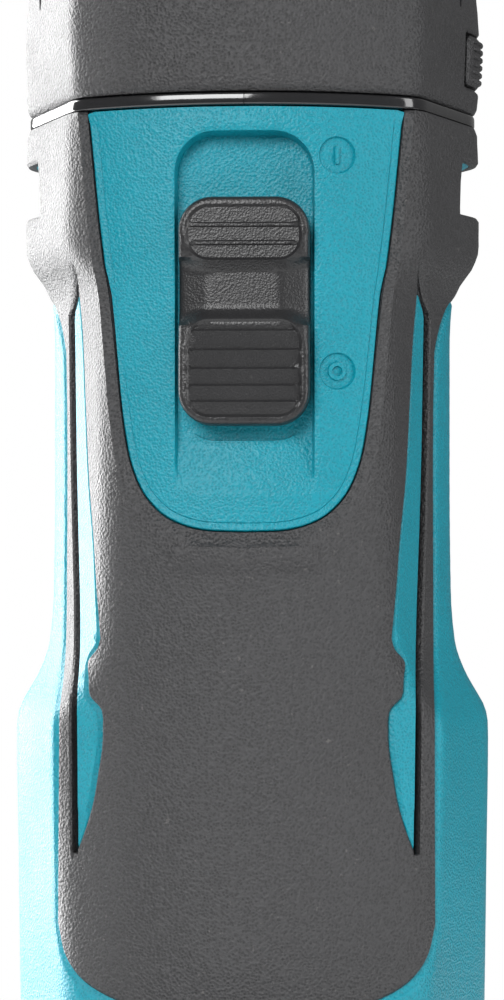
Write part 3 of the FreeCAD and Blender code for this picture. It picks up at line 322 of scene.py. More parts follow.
def trimmed(lines, outline, gap, holes=()):
    """The parts of the lines that stay inside the outline, off its edge by the gap, and out of the holes."""
    kept = []
    for path, closed in lines:
        good = within(path, outline) & (away(path, outline, True) > gap)
        for hole in holes:
            good &= ~within(path, hole)
        if good.all():
            kept.append((path, closed))
            continue
        for piece in np.split(np.arange(len(path)), np.flatnonzero(~good)):
            piece = [n for n in piece if good[n]]
            if len(piece) > 2:
                kept.append((path[piece], False))
    return kept


# ------------------------------------------------------------------ meshes


OFF_LINES = 0.42  # of the spacing, between the free points and any line
SAME_POINT, LEAST_AREA = 1e-5, 1e-7


def tessellate(outline, holes, lines, spacing):
    """Triangles that fill an outline and follow every line in it."""
    points, edges, paths = [], [], []

    def add(path, closed):
        start = len(points)
        points.extend(map(tuple, path))
        edges.extend((start + n, start + n + 1) for n in range(len(path) - 1))
        if closed:
            edges.append((len(points) - 1, start))
        paths.append((path, closed))

    add(outline, True)
    for hole in holes:
        add(hole, True)
    for path, closed in lines:
        add(path, closed)
    low, high = outline.min(0), outline.max(0)
    row = spacing * math.sqrt(3) / 2
    lattice = np.array([
        (x + (n % 2) * spacing / 2, z)
        for n, z in enumerate(np.arange(low[1] + row / 2, high[1], row))
        for x in np.arange(low[0] + spacing / 2, high[0], spacing)
    ])
    keep = within(lattice, outline)
    for hole in holes:
        keep &= ~within(lattice, hole)
    lattice = lattice[keep]
    for path, closed in paths:
        if len(lattice):
            lattice = lattice[away(lattice, path, closed) > spacing * OFF_LINES]
    points.extend(map(tuple, lattice))
    result = delaunay_2d_cdt([Vector(p) for p in points], edges, [], 0, SAME_POINT)
    flat = np.array([tuple(v) for v in result[0]])
    tris = np.array([f for f in result[2] if len(f) == 3])
    centre = flat[tris].mean(1)
    keep = within(centre, outline)
    for hole in holes:
        keep &= ~within(centre, hole)
    a, b, c = (flat[tris[:, n]] for n in range(3))
    area = (b - a)[:, 0] * (c - a)[:, 1] - (b - a)[:, 1] * (c - a)[:, 0]
    tris = np.where(area[:, None] < 0, tris[:, ::-1], tris)
    tris = tris[keep & (np.abs(area) > LEAST_AREA)]
    used = np.unique(tris)
    renumber = np.full(len(flat), -1)
    renumber[used] = np.arange(len(used))
    return flat[used], renumber[tris]


def in_scene(name, data):
    """An object that holds the data, linked to the scene."""
    made = bpy.data.objects.new(name, data)
    bpy.context.scene.collection.objects.link(made)
    return made


def smooth_piece(name, points, faces, slots, marks=(), sharp=SHARP):
    """A smooth piece from points in millimetres. Marks give the slots of its first faces."""
    mesh = bpy.data.meshes.new(name)
    mesh.from_pydata((points * MM).tolist(), [], faces)
    mesh.validate()
    for slot in slots:
        mesh.materials.append(MATERIALS[slot])
    if len(marks):
        numbers = np.zeros(len(mesh.polygons), np.int32)
        numbers[: len(marks)] = marks
        mesh.polygons.foreach_set("material_index", numbers)
    mesh.shade_smooth()
    mesh.set_sharp_from_angle(angle=sharp)
    return in_scene(name, mesh)


def closed_mesh(name, outer, inner, tris, *slots, marks=(), flip=False):
    """A piece between an outer and an inner surface that share their triangles."""
    count = len(outer)
    edges = np.vstack([tris[:, [0, 1]], tris[:, [1, 2]], tris[:, [2, 0]]])
    codes = edges[:, 0] * count + edges[:, 1]
    rim = edges[~np.isin(codes, edges[:, 1] * count + edges[:, 0])]
    faces = [tuple(t) for t in tris]
    faces += [(c + count, b + count, a + count) for a, b, c in tris]
    faces += [(b, a, a + count, b + count) for a, b in rim]
    if flip:
        faces = [face[::-1] for face in faces]
    return smooth_piece(name, np.vstack([outer, inner]), faces, slots, marks)


def weld(made, distance=0.00002):
    """Joins the two edges of a piece that goes all the way round."""
    work = bmesh.new()
    work.from_mesh(made.data)
    bmesh.ops.remove_doubles(work, verts=work.verts, dist=distance)
    seen = {}
    for face in work.faces:
        seen.setdefault(frozenset(v.index for v in face.verts), []).append(face)
    double = [f for same in seen.values() if len(same) > 1 for f in same]
    bmesh.ops.delete(work, geom=double, context="FACES")
    work.to_mesh(made.data)
    work.free()
    made.data.set_sharp_from_angle(angle=SHARP)


# ------------------------------------------------------------------ materials


def node_tools(material):
    """Functions that add a node to an emptied material and link two sockets."""
    tree = material.node_tree
    tree.nodes.clear()

    def add(kind, **values):
        made = tree.nodes.new(kind)
        for key, value in values.items():
            if key in made.inputs:
                made.inputs[key].default_value = value
            else:
                setattr(made, key, value)
        return made

    def link(start, end):
        tree.links.new(start, end)

    return add, link


MATERIALS = {}
CELL_SCALE, FINE_SCALE, BROAD_SCALE, SPECK_SCALE = 1000, 2600, 55.0, 900.0  # the first two are for a grain of 1
FINE_SHARE = 0.45  # of the fine noise in the bump
TEXTURE_RANGE = (0.3, 0.7)  # where most of a noise texture lies
DUST_COLOUR = (0.45, 0.43, 0.4, 1)


def plastic(name, colour, roughness, grain=0.5, depth=0.00006, mottle=0.06, specular=0.5, dust=0.0,
            coat=0.0, metallic=0.0, brushed=None, grain_shade_and_highlight=0.08):
    """A moulded or metal surface: cell-like grain in the bump, the same grain painted into the colour as shade
    in its pits and highlight on its tops, mottled colour and roughness, and fine dust.

    The depth of the grain is in metres.
    """
    material = MATERIALS[name] = bpy.data.materials.new(name)
    material.use_nodes = True
    add, link = node_tools(material)

    def spread(source, low, high, least, most):
        """The source with its range from low to high stretched from least to most."""
        made = add("ShaderNodeMapRange")
        for key, value in (("From Min", low), ("From Max", high), ("To Min", least), ("To Max", most)):
            made.inputs[key].default_value = value
        link(source, made.inputs["Value"])
        return made.outputs[0]

    out, shader = add("ShaderNodeOutputMaterial"), add("ShaderNodeBsdfPrincipled")
    link(shader.outputs[0], out.inputs[0])
    for key, value in (("Metallic", metallic), ("Specular IOR Level", specular),
                       ("Coat Weight", coat), ("Coat Roughness", 0.08)):
        shader.inputs[key].default_value = value
    place, stretch = add("ShaderNodeTexCoord"), add("ShaderNodeMapping")
    if brushed:
        stretch.inputs["Scale"].default_value = brushed
    link(place.outputs["Object"], stretch.inputs["Vector"])
    cells = add("ShaderNodeTexVoronoi", Scale=CELL_SCALE / grain, Randomness=0.95)
    cells.feature = "SMOOTH_F1"
    cells.inputs["Smoothness"].default_value = 0.5
    fine = add("ShaderNodeTexNoise", Scale=FINE_SCALE / grain, Detail=3.0, Roughness=0.6)
    broad = add("ShaderNodeTexNoise", Scale=BROAD_SCALE, Detail=5.0, Roughness=0.6)
    specks = add("ShaderNodeTexNoise", Scale=SPECK_SCALE, Detail=2.0, Roughness=0.5)
    for texture in (cells, fine):
        link(stretch.outputs[0], texture.inputs["Vector"])
    for texture in (broad, specks):
        link(place.outputs["Object"], texture.inputs["Vector"])
    height = add("ShaderNodeMath", operation="MULTIPLY_ADD")
    link(fine.outputs[0], height.inputs[0])
    height.inputs[1].default_value = FINE_SHARE
    link(cells.outputs[0], height.inputs[2])
    bump = add("ShaderNodeBump", Strength=1.0, Distance=depth)
    link(height.outputs[0], bump.inputs["Height"])
    link(bump.outputs[0], shader.inputs["Normal"])
    both = add("ShaderNodeMath", operation="MULTIPLY")
    link(spread(broad.outputs[0], *TEXTURE_RANGE, 1 - mottle, 1 + mottle), both.inputs[0])
    # Painted shade and highlight: the grain's cells darken the colour in their pits and lighten it on their
    # tops, by the share given.
    link(spread(cells.outputs[0], 0.1, 0.55, 1 - grain_shade_and_highlight, 1 + grain_shade_and_highlight), both.inputs[1])
    tint = add("ShaderNodeVectorMath", operation="SCALE")
    tint.inputs[0].default_value = colour
    link(both.outputs[0], tint.inputs["Scale"])
    last = tint.outputs[0]
    if dust:
        blend = add("ShaderNodeMix", data_type="RGBA")
        link(spread(specks.outputs[0], 0.7, 0.76, 0.0, dust), blend.inputs[0])
        link(last, blend.inputs[6])
        blend.inputs[7].default_value = DUST_COLOUR
        last = blend.outputs[2]
    link(last, shader.inputs["Base Color"])
    rough = spread(broad.outputs[0], *TEXTURE_RANGE, roughness * 0.88, min(1.0, roughness * 1.12))
    link(rough, shader.inputs["Roughness"])


TEAL = (0.0, 0.22, 0.288)
# The last value of the first four calls sets how strongly the grain paints shade into its pits and highlight
# onto its tops; the rest keep the default.
plastic("shell_teal", TEAL, roughness=0.4, grain=0.42, depth=0.00013, mottle=0.05, specular=0.4,
        grain_shade_and_highlight=0.14)
plastic("panel_teal", TEAL, roughness=0.38, grain=0.42, depth=0.00013, mottle=0.05, specular=0.4,
        grain_shade_and_highlight=0.14)
plastic("grip_rubber", (0.027, 0.027, 0.0285), roughness=0.44, grain=0.46, depth=0.00021, mottle=0.1,
        dust=0.1, grain_shade_and_highlight=0.35)
plastic("knob_black", (0.016, 0.016, 0.017), roughness=0.34, grain=0.34, depth=0.00005, mottle=0.1,
        dust=0.05, grain_shade_and_highlight=0.2)
plastic("ring_black", (0.01, 0.01, 0.011), roughness=0.12, grain=1.2, depth=0.000008, mottle=0.1,
        coat=0.6)
plastic("inner_plastic", (0.02, 0.02, 0.021), roughness=0.5, grain=0.6, depth=0.00003)
plastic("nose_metal", (0.33, 0.33, 0.34), roughness=0.38, grain=0.35, depth=0.00001, mottle=0.05,
        metallic=1.0, brushed=(0.1, 0.1, 2))
plastic("spindle_steel", (0.5, 0.5, 0.52), roughness=0.24, grain=0.25, depth=0.000006, mottle=0.05,
        metallic=1.0, brushed=(0.1, 0.1, 3))
plastic("black_steel", (0.05, 0.05, 0.055), roughness=0.34, grain=0.3, depth=0.00001, mottle=0.15,
        metallic=0.9)
plastic("bearing_steel", (0.7, 0.7, 0.71), roughness=0.12, grain=0.6, depth=0.000002, mottle=0.03,
        metallic=1.0)
plastic("lamination", (0.22, 0.22, 0.24), roughness=0.4, grain=0.5, depth=0.00003, mottle=0.1,
        metallic=0.9, brushed=(0.05, 0.05, 1))
plastic("winding", (0.55, 0.18, 0.06), roughness=0.3, grain=0.7, depth=0.0002, mottle=0.15, metallic=0.8,
        brushed=(0.1, 0.1, 1))
plastic("magnet", (0.33, 0.33, 0.35), roughness=0.3, grain=0.5, depth=0.00001, mottle=0.06, metallic=1.0)
plastic("board", (0.01, 0.12, 0.05), roughness=0.3, grain=0.8, depth=0.00002, mottle=0.12)
plastic("chip", (0.012, 0.012, 0.013), roughness=0.45, grain=0.2, depth=0.00001)
plastic("capacitor", (0.05, 0.06, 0.12), roughness=0.25, grain=0.8, depth=0.00001)
plastic("lead", (0.02, 0.02, 0.022), roughness=0.5, grain=0.8, depth=0.00003)
plastic("contact", (0.72, 0.55, 0.3), roughness=0.25, grain=0.4, depth=0.000006, metallic=1.0)
plastic("pack_black", (0.022, 0.022, 0.024), roughness=0.46, grain=0.45, depth=0.00006, mottle=0.08,
        dust=0.05)
plastic("button_grey", (0.06, 0.06, 0.064), roughness=0.48, grain=0.5, depth=0.00004, mottle=0.06)
plastic("cell", (0.02, 0.2, 0.42), roughness=0.25, grain=1.0, depth=0.00001, mottle=0.05)
plastic("strap", (0.6, 0.6, 0.57), roughness=0.3, grain=0.5, depth=0.00001, metallic=1.0)
plastic("spring_steel", (0.42, 0.42, 0.44), roughness=0.25, grain=0.3, depth=0.000004, metallic=1.0)
plastic("screw_steel", (0.06, 0.06, 0.065), roughness=0.3, grain=0.3, depth=0.000006, metallic=0.9)


# ------------------------------------------------------------------ shared outlines on the skin


PANEL_SIDE = [(0, 140.9), (6.7, 141.2), (10, 142.0), (12.9, 143.4), (16.1, 146.6), (18.2, 151), (19.7, 158),
              (21.0, 168), (22.3, 179), (23.7, 190), (25.4, 206.4), (25.5, 207.2)]
SLOT_LINE = [(27.0, 90.4), (27.5, 122), (28.4, 149), (28.9, 176), (27.6, 183.5)]
STRIPE_TOP = [(27.3, 180.4), (26.5, 171.3), (26.0, 161.8), (25.3, 149.2), (24.3, 139), (23.8, 131.9),
              (23.1, 124.2)]
STRIPE_NOTCH = [(23.1, 124.2), (23.6, 122.6), (25.1, 120.7), (25.0, 117.6), (24.7, 115.2), (22.8, 113.1),
                (22.5, 111.6)]
STRIPE_FOOT = [(22.5, 111.6), (22.6, 107.3), (23.2, 103.3), (24.0, 98.6), (24.9, 95.4), (25.8, 92.8),
               (26.5, 91.0)]
SIDE_LINE = [(30, 79), (30, 100), (30, 130), (30, 160), (30.2, 170)]
GRIP_FOOT = [(0, 65.2), (12, 66.2), (20, 68.0), (25.5, 70.6), (28.6, 74.0), (30, 79)]
SLOT_HALF = 0.5


def on_skin(points, back=False):
    """Points in x and z as points in q and z."""
    p = np.asarray(points, float)
    return np.stack([q_at(p[:, 0], p[:, 1], back), p[:, 1]], 1)


panel_side = on_skin(curve(PANEL_SIDE))
slot_x = np.array(SLOT_LINE)
slot_outer = on_skin(curve(slot_x[:4] + [SLOT_HALF, 0]))
slot_inner = on_skin(curve(slot_x[:4] - [SLOT_HALF, 0]))
slot_tip = on_skin(slot_x[4:])
stripe_inner = np.vstack([
    on_skin(curve(STRIPE_TOP)), on_skin(curve(STRIPE_NOTCH, 0.5))[1:], on_skin(curve(STRIPE_FOOT))[1:]])
slot_end = line([slot_outer[-1], slot_tip[0], slot_inner[-1]])[1:]
slot_loop = np.vstack([slot_outer, slot_end, slot_inner[::-1][1:],
                       line([slot_inner[0], slot_outer[0]])[1:-1]])
# The opening in the grip: the stripe and the slot together, anticlockwise from the slot's foot.
upper = slot_inner[slot_inner[:, 1] > stripe_inner[0, 1] + 0.6]
open_loop = np.vstack([slot_outer, slot_end, upper[::-1][1:], stripe_inner,
                       line([stripe_inner[-1], slot_inner[0], slot_outer[0]])[1:-1]])


def side_edge():
    """The grip's edge beside the bare side: up the front, over the side below the shoulder and down the back."""
    front = on_skin(curve(SIDE_LINE, 1.0))
    low, mid, high = 174.5, 177.6, 179.4
    q_front = q_at([31.2, 32.4], [low, mid])
    q_back = q_at([32.4, 31.2], [mid, low], True)
    back = on_skin(curve(SIDE_LINE[::-1], 1.0), True)
    bow = curve([front[-1], (q_front[0], low), (q_front[1], mid), (q_side([179.8])[0], high),
                 (q_back[0], mid), (q_back[1], low), back[0]], 0.9)
    return np.vstack([front, bow[1:-1], back])


grip_side = side_edge()
foot_front = on_skin(curve(GRIP_FOOT))
foot_back = on_skin(curve(GRIP_FOOT), True)
top_run = line([panel_side[-1], (AROUND, SHOULDER_TOP)], 1.6)
back_seam = line([(AROUND, SHOULDER_TOP), (AROUND, GRIP_START)], 1.6)
front_seam = line([(0, GRIP_START), (0, PANEL_START)], 1.2)
side_q = q_side([196.8])[0]
VENT = [(side_q + q, z) for q, z in (
    (-9.2, 201.2), (-10.2, 197.5), (-10.6, 192.4), (10.6, 192.4), (10.2, 197.5), (9.2, 201.2))]
vent_loop = line(VENT + VENT[:1], 0.9)[:-1][::-1]


def bevel_width(z):
    """Width of the bevel in the grip beside the panel."""
    return ramp(z, (141, 2.5), (147, 2.3), (160, 1.9), (185, 1.4), (207, 1.2))


def small_pad(half, low, high):
    """Half of a faint raised patch that straddles the seam."""
    return line([(0, high), (half, high), (half, low), (0, low)], 1.2)


# ------------------------------------------------------------------ the rubber grips


def build_grip(name, sign):
    outline = np.vstack([
        foot_front[::-1][:-1], front_seam[:-1], panel_side[:-1], top_run[:-1], back_seam[:-1],
        foot_back[:-1], grip_side[::-1][:-1]])[::-1]
    bevel_line = moved(panel_side, -bevel_width(panel_side[:, 1]))
    bevel_line = bevel_line[(bevel_line[:, 0] > 0.5) & (bevel_line[:, 1] < SHOULDER_TOP - 0.3)]
    patch_q, label_q, label_top = 13.2, 9.6, 71.6
    patch = small_pad(patch_q, 135.2, 139.0)
    label = line([(0, label_top), (8.2, label_top), (label_q, 70.2), (label_q, 67.2)], 1.0)
    lines = [(bevel_line, False), (patch, False), (moved(patch, -0.25)[1:-1], False), (label, False)]
    lines += offsets(open_loop, True, 0.3) + offsets(grip_side, False, 0.35, 0.9)
    lines += offsets(foot_front, False, 0.35, 0.9) + offsets(vent_loop, True, 0.5)
    holes = [open_loop, vent_loop]
    flat, tris = tessellate(outline, holes, trimmed(lines, outline, 0.12, holes), 1.5)
    q, z = flat.T
    share = away(flat, panel_side) / bevel_width(z)
    height = ramp(share, (0, -0.95), (0.84, -0.1), (0.93, 0.05), (1.0, 0.05), (1.25, 0))
    edge = np.minimum(away(flat, grip_side), away(flat, foot_front))
    edge = np.minimum(edge, away(flat, foot_back))
    height += ramp(edge, (0, -0.34), (0.12, -0.2), (0.35, -0.04), (0.9, 0))
    height += ramp(away(flat, open_loop, True), (0, -0.28), (0.3, 0))
    height += ramp(away(flat, vent_loop, True), (0, -0.35), (0.5, 0))
    height += ramp(np.minimum(q, AROUND - q), (0, -0.1), (0.12, 0))
    height += ramp(SHOULDER_TOP - z, (0, -0.35), (0.4, 0))
    inside_patch = within(flat, np.vstack([patch, patch[:1] - [3, 0]]))
    inside_patch &= (q < patch_q + 0.1) & (away(flat, patch) > 0.02)
    height += np.where(inside_patch, 0.16, 0)
    inside_label = (q < label_q) & (z < label_top) & (away(flat, label) > 0.02) & (z + q < 79.8)
    height += np.where(inside_label, -0.18, 0)
    mirror = [sign, 1, 1]
    outer, inner = wrap(BODY, q, z, height) * mirror, wrap(BODY, q, z, GRIP_INSIDE) * mirror
    return closed_mesh(name, outer, inner, tris, "grip_rubber", flip=sign < 0)


# ------------------------------------------------------------------ the teal clamshells


def build_housing(name, sign):
    mouth_top, mouth_half, tallest_cover = 54.5, 28.5, 0.056
    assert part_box("pack_cover")[1].z < tallest_cover  # the opening in front is drawn for it
    mouth_q = q_at([mouth_half], [48.0])[0]
    outline = np.vstack([
        line([(0, mouth_top), (0, PANEL_START)], 1.4)[:-1], panel_side[:-1], top_run[:-1],
        line([(AROUND, SHOULDER_TOP), (AROUND, HOUSING_FOOT), (mouth_q, HOUSING_FOOT)], 1.6)[:-1],
        line([(mouth_q, HOUSING_FOOT), (mouth_q, mouth_top), (0, mouth_top)], 1.4)[:-1]])[::-1]
    ports = [rounded(1.5, 194.4, 199.2, 1.4, side_q + shift, 0.7) for shift in (-6.2, -2.1, 2.1, 6.2)]
    lines = offsets(grip_side, False, 0.07, 0.4, 1.0, 1.25) + offsets(foot_front, False, 0.07, 0.4, 1.0, 1.25)
    lines += offsets(foot_back, False, 0.07, 0.4) + offsets(stripe_inner, False, 0.07, 0.3, 0.75, 0.95)
    lines += offsets(slot_loop, True, 0.02) + offsets(vent_loop, True, 0.02, 0.9, 2.2)
    flat, tris = tessellate(outline, ports, trimmed(lines, outline, 0.1), 1.7)
    q, z = flat.T
    below = line([foot_back[0], (AROUND, 40), (0, 40)], 5)[1:]
    bare_side = within(flat, np.vstack([grip_side, foot_back[::-1], below, foot_front]))
    opening = within(flat, open_loop)
    edge = np.minimum(np.minimum(away(flat, grip_side), away(flat, foot_front)), away(flat, foot_back))
    height = np.full(len(q), -1.65)
    bare = ramp(edge, (0, -0.7), (0.07, -0.62), (0.4, -0.55), (1.0, -0.12), (1.25, 0))
    height = np.where(bare_side & (edge > 0.04), bare, height)
    stripe_edge = away(flat, stripe_inner)
    stripe = ramp(stripe_edge, (0, -0.85), (0.07, -0.8), (0.3, -0.7), (0.95, -0.2))
    stripe = np.where(z < 97, ramp(stripe_edge, (0, -0.6), (0.3, -0.35)), stripe)
    height = np.where(opening & (stripe_edge > 0.04), stripe, height)
    height = np.where(within(flat, slot_loop), -2.3, height)
    in_vent = within(flat, vent_loop)
    vent = ramp(away(flat, vent_loop, True), (0, -1.7), (0.9, -3.4), (2.2, -3.75))
    height = np.where(in_vent, vent, height)
    height += ramp(np.minimum(q, AROUND - q), (0, -0.12), (0.14, 0))
    # Painted shade: the faces in the slot and on its walls take the dark inner plastic, so the groove shows near
    # black.
    centre = flat[tris].mean(1)
    slot_painted_shade = within(centre, slot_loop) | (away(centre, slot_loop, True) < 0.03)
    mirror = [sign, 1, 1]
    outer = wrap(BODY, q, z, height) * mirror
    inner = wrap(BODY, q, z, np.where(in_vent, -4.6, SHELL_INSIDE)) * mirror
    return closed_mesh(name, outer, inner, tris, "shell_teal", "inner_plastic", marks=slot_painted_shade, flip=sign < 0)


# ------------------------------------------------------------------ the switch panel


RIM_LOW, POCKET_LOW = 147.6, 155.4


def pocket_rim():
    """The rim of the pocket and its ramp, with wide round corners above and small ones below."""
    above, below = (rounded(11.1, RIM_LOW, 203.4, radius) for radius in (6.4, 1.4))
    low = below[:, 1] < 170
    turn = int(np.argmin(low))
    return np.vstack([below[:turn], above[above[:, 1] > 170], below[turn:][low[turn:]]])


RIM = pocket_rim()
POCKET = rounded(10.6, POCKET_LOW, 202.2, 5.9)
POCKET_FLOOR = -25.5
MARKS = {"on": (14.7, 199.7), "off": (14.7, 166.1)}
MARK_RADIUS, MARK_DEPTH = 2.9, 0.5


def face_q(x, z):
    """The q of points on the front arc, given by x and z."""
    ahead, behind = quarters(BODY, z)
    return FRONT_ARC * np.arcsin(x / FRONT_ARC) / (ahead["total"] + behind["total"]) * AROUND


def mark_lines():
    """The lines that the two round marks need."""
    (x1, z1), (x2, z2) = MARKS["on"], MARKS["off"]
    bars = [rounded(w, z1 - h, z1 + h, w * 0.9, x1, 0.25) for w, h in ((0.42, 1.5), (0.3, 1.38))]
    rings = [circle(x2, z2, r, 28) for r in (1.5, 1.38, 0.82, 0.7)]
    rims = [circle(x, z, r) for x, z in MARKS.values() for r in (MARK_RADIUS, MARK_RADIUS - 0.22)]
    return rims + bars + rings


def mark_depth(flat):
    """How far the two round marks sink, with the bar and the ring standing in them."""
    total = np.zeros(len(flat))
    for kind, (x, z) in MARKS.items():
        far = np.hypot(flat[:, 0] - x, flat[:, 1] - z)
        sunk = ramp(far, (MARK_RADIUS - 0.22, MARK_DEPTH), (MARK_RADIUS, 0.0))
        if kind == "on":
            bar = inside_depth(flat, rounded(0.42, z - 1.5, z + 1.5, 0.38, x, 0.25))
            sunk *= ramp(bar, (0.01, 1), (0.1, 0.05))
        else:
            sunk *= ramp(np.abs(far - 1.1), (0.28, 0.05), (0.4, 1))
        total += sunk
    return total


def pocket_depth(flat, full):
    """Depth of the switch's pocket and of the ramp below it, under the panel's face."""
    z = flat[:, 1]
    from_rim, to_pocket = inside_depth(flat, RIM), -inside_depth(flat, POCKET)
    width = ramp(z, (156, 0.12), (160, 0.42), (196, 0.42), (202, 1.15))
    wall = full * np.clip(1 - np.maximum(to_pocket, 0) / width, 0, 1)
    slope = ramp(z, (RIM_LOW, 0), (POCKET_LOW, 2.0), (162, 4.0)) * np.clip(from_rim / 0.4, 0, 1)
    soft = ramp(from_rim, (-0.35, 0), (0, 0.14), (0.1, 0))
    return np.where(from_rim > 0.02, np.minimum(np.maximum(wall, slope), full), soft)


def build_panel():
    right = curve(PANEL_SIDE)
    left = right[::-1] * [-1, 1]
    outline = moved(np.vstack([right, line([right[-1], left[0]], 1.2)[1:-1], left[:-1]]), 0.1, True)
    loops = [moved(outline, w, True) for w in (0.14, 0.34, 1.3, 1.5)]
    loops += [RIM, moved(RIM, -0.35, True), moved(RIM, 0.4, True), POCKET, moved(POCKET, -0.12, True)]
    loops += mark_lines()
    keep = []
    for loop in loops:
        good = within(loop, outline) & (away(loop, outline, True) > 0.1)
        keep.append((loop[good], bool(good.all())))
    flat, tris = tessellate(outline, [], keep, 0.95)
    x, z = flat.T
    q = face_q(x, z)
    edge = away(flat, outline, True)
    height = ramp(edge, (0, -1.75), (0.14, -1.2), (0.34, -1.02), (1.3, -1.2), (1.5, -0.95))
    height = np.where(z > SHOULDER_TOP - 1.6, np.maximum(height, -1.02), height)
    outer = wrap(BODY, q, z, height - mark_depth(flat))
    full = POCKET_FLOOR - outer[:, 1]
    outer[:, 1] += pocket_depth(flat, full)
    inner = wrap(BODY, q, z, SHELL_INSIDE)
    inner[:, 1] = np.maximum(inner[:, 1], outer[:, 1] + 1.3)
    return closed_mesh("switch_panel_shell", outer, inner, tris, "panel_teal")


# ------------------------------------------------------------------ the switch knob


TEETH = (3.7, 6.2, 8.8, 11.7, 14.7)  # above the knob's lower end
RIDGES = (4.4, 7.2)  # below its upper end
LOWER_PAD, UPPER_PAD = 16.4, 10.3  # heights of the two finger pads
SADDLE_DROP = 1.7


def pad_edge(low, high):
    """The two finger pads as outlines, whose inner ends have round corners."""
    return (rounded(9.0, low + 1.2, low + LOWER_PAD, 3.6, step=0.5),
            rounded(9.0, high - UPPER_PAD + 0.4, high - 1.2, 3.6, step=0.5))


def build_knob():
    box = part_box("switch_knob")
    low, high, half = box[0].z / MM, box[1].z / MM, box[1].x / MM
    face, base = box[0].y / MM, -25.6
    dip_low, dip_high = low + LOWER_PAD, high - UPPER_PAD  # between the pads
    outline = rounded(half, low, high, 5.3, step=0.5)
    rims = [moved(outline, w, True) for w in (0.2, 0.5, 0.9)]
    pads = pad_edge(low, high)
    fields = [moved(pad, 0.45, True) for pad in pads]
    lines = [(loop, True) for loop in [*rims, *pads, *fields]]
    rows = [(low + tooth, fields[0], (-0.16, 0.16)) for tooth in TEETH]
    rows += [(high - ridge, fields[1], (-0.42, -0.16, 0.16, 0.42)) for ridge in RIDGES]
    for z, field, shifts in rows:
        for shift in shifts:
            row = line([(-half, z + shift), (half, z + shift)], 0.8)
            row = row[within(row, field) & (away(row, field, True) > 0.12)]
            if len(row) > 2:
                lines.append((row, False))
    for x in (-5.6, 5.6):
        lines.append((line([(x, dip_low + 1.6), (x, dip_high - 0.9)], 0.8), False))
    for z in (dip_low + 1.4, dip_low + 2.6, dip_high - 0.7, dip_high - 1.4):
        lines.append((line([(-8.6, z), (8.6, z)], 0.8), False))
    flat, tris = tessellate(outline, [], lines, 0.8)
    x, z = flat.T
    inset = away(flat, outline, True)
    between = (z > dip_low - 3.6) & (z < dip_high + 4.0)
    outside = np.minimum(-inside_depth(flat, pads[0]), -inside_depth(flat, pads[1]))
    hollow = ramp(z, (dip_low - 1.5, 0.35), (dip_low + 1.6, 1), (dip_high - 0.9, 1), (dip_high + 2.0, 0.35))
    saddle = SADDLE_DROP * hollow * ramp(outside, (0.05, 0), (1.5, 1))
    sides = 1.5 * ramp(np.abs(x), (5.6, 0), (9.6, 1)) * ramp(outside, (0.3, 0), (2.2, 1))
    middle = (z > dip_low - 0.6) & (z < dip_high + 0.8)
    drop = np.where(between & (outside > 0), np.where(middle, saddle + sides, saddle * 0.8), 0)
    top = face + drop + ramp(inset, (0, 0.95), (0.2, 0.35), (0.5, 0.08), (0.9, 0.0))
    depth = np.maximum(inside_depth(flat, pads[0]), inside_depth(flat, pads[1]))
    top = top + ramp(depth, (0, 0), (0.45, 0.5))
    teeth = np.zeros(len(x))
    edges = [low + 1.2] + [low + tooth for tooth in TEETH] + [dip_low]
    for a, b in zip(edges, edges[1:]):
        inside = (z >= a + 0.15) & (z < b + 0.15)
        teeth = np.where(inside, -0.5 * np.clip((z - a) / (b - 0.16 - a), 0, 1) * (z < b), teeth)
    for ridge in RIDGES:
        teeth += ramp(np.abs(z - (high - ridge)), (0.16, -0.45), (0.42, 0))
    top = top + teeth * ramp(depth, (0.4, 0), (0.5, 1))
    outer = np.stack([x, np.minimum(top, base - 0.4), z], 1)
    inner = np.stack([x, np.full(len(x), base), z], 1)
    return closed_mesh("switch_knob_cap", outer, inner, tris, "knob_black")


# ------------------------------------------------------------------ the head cover


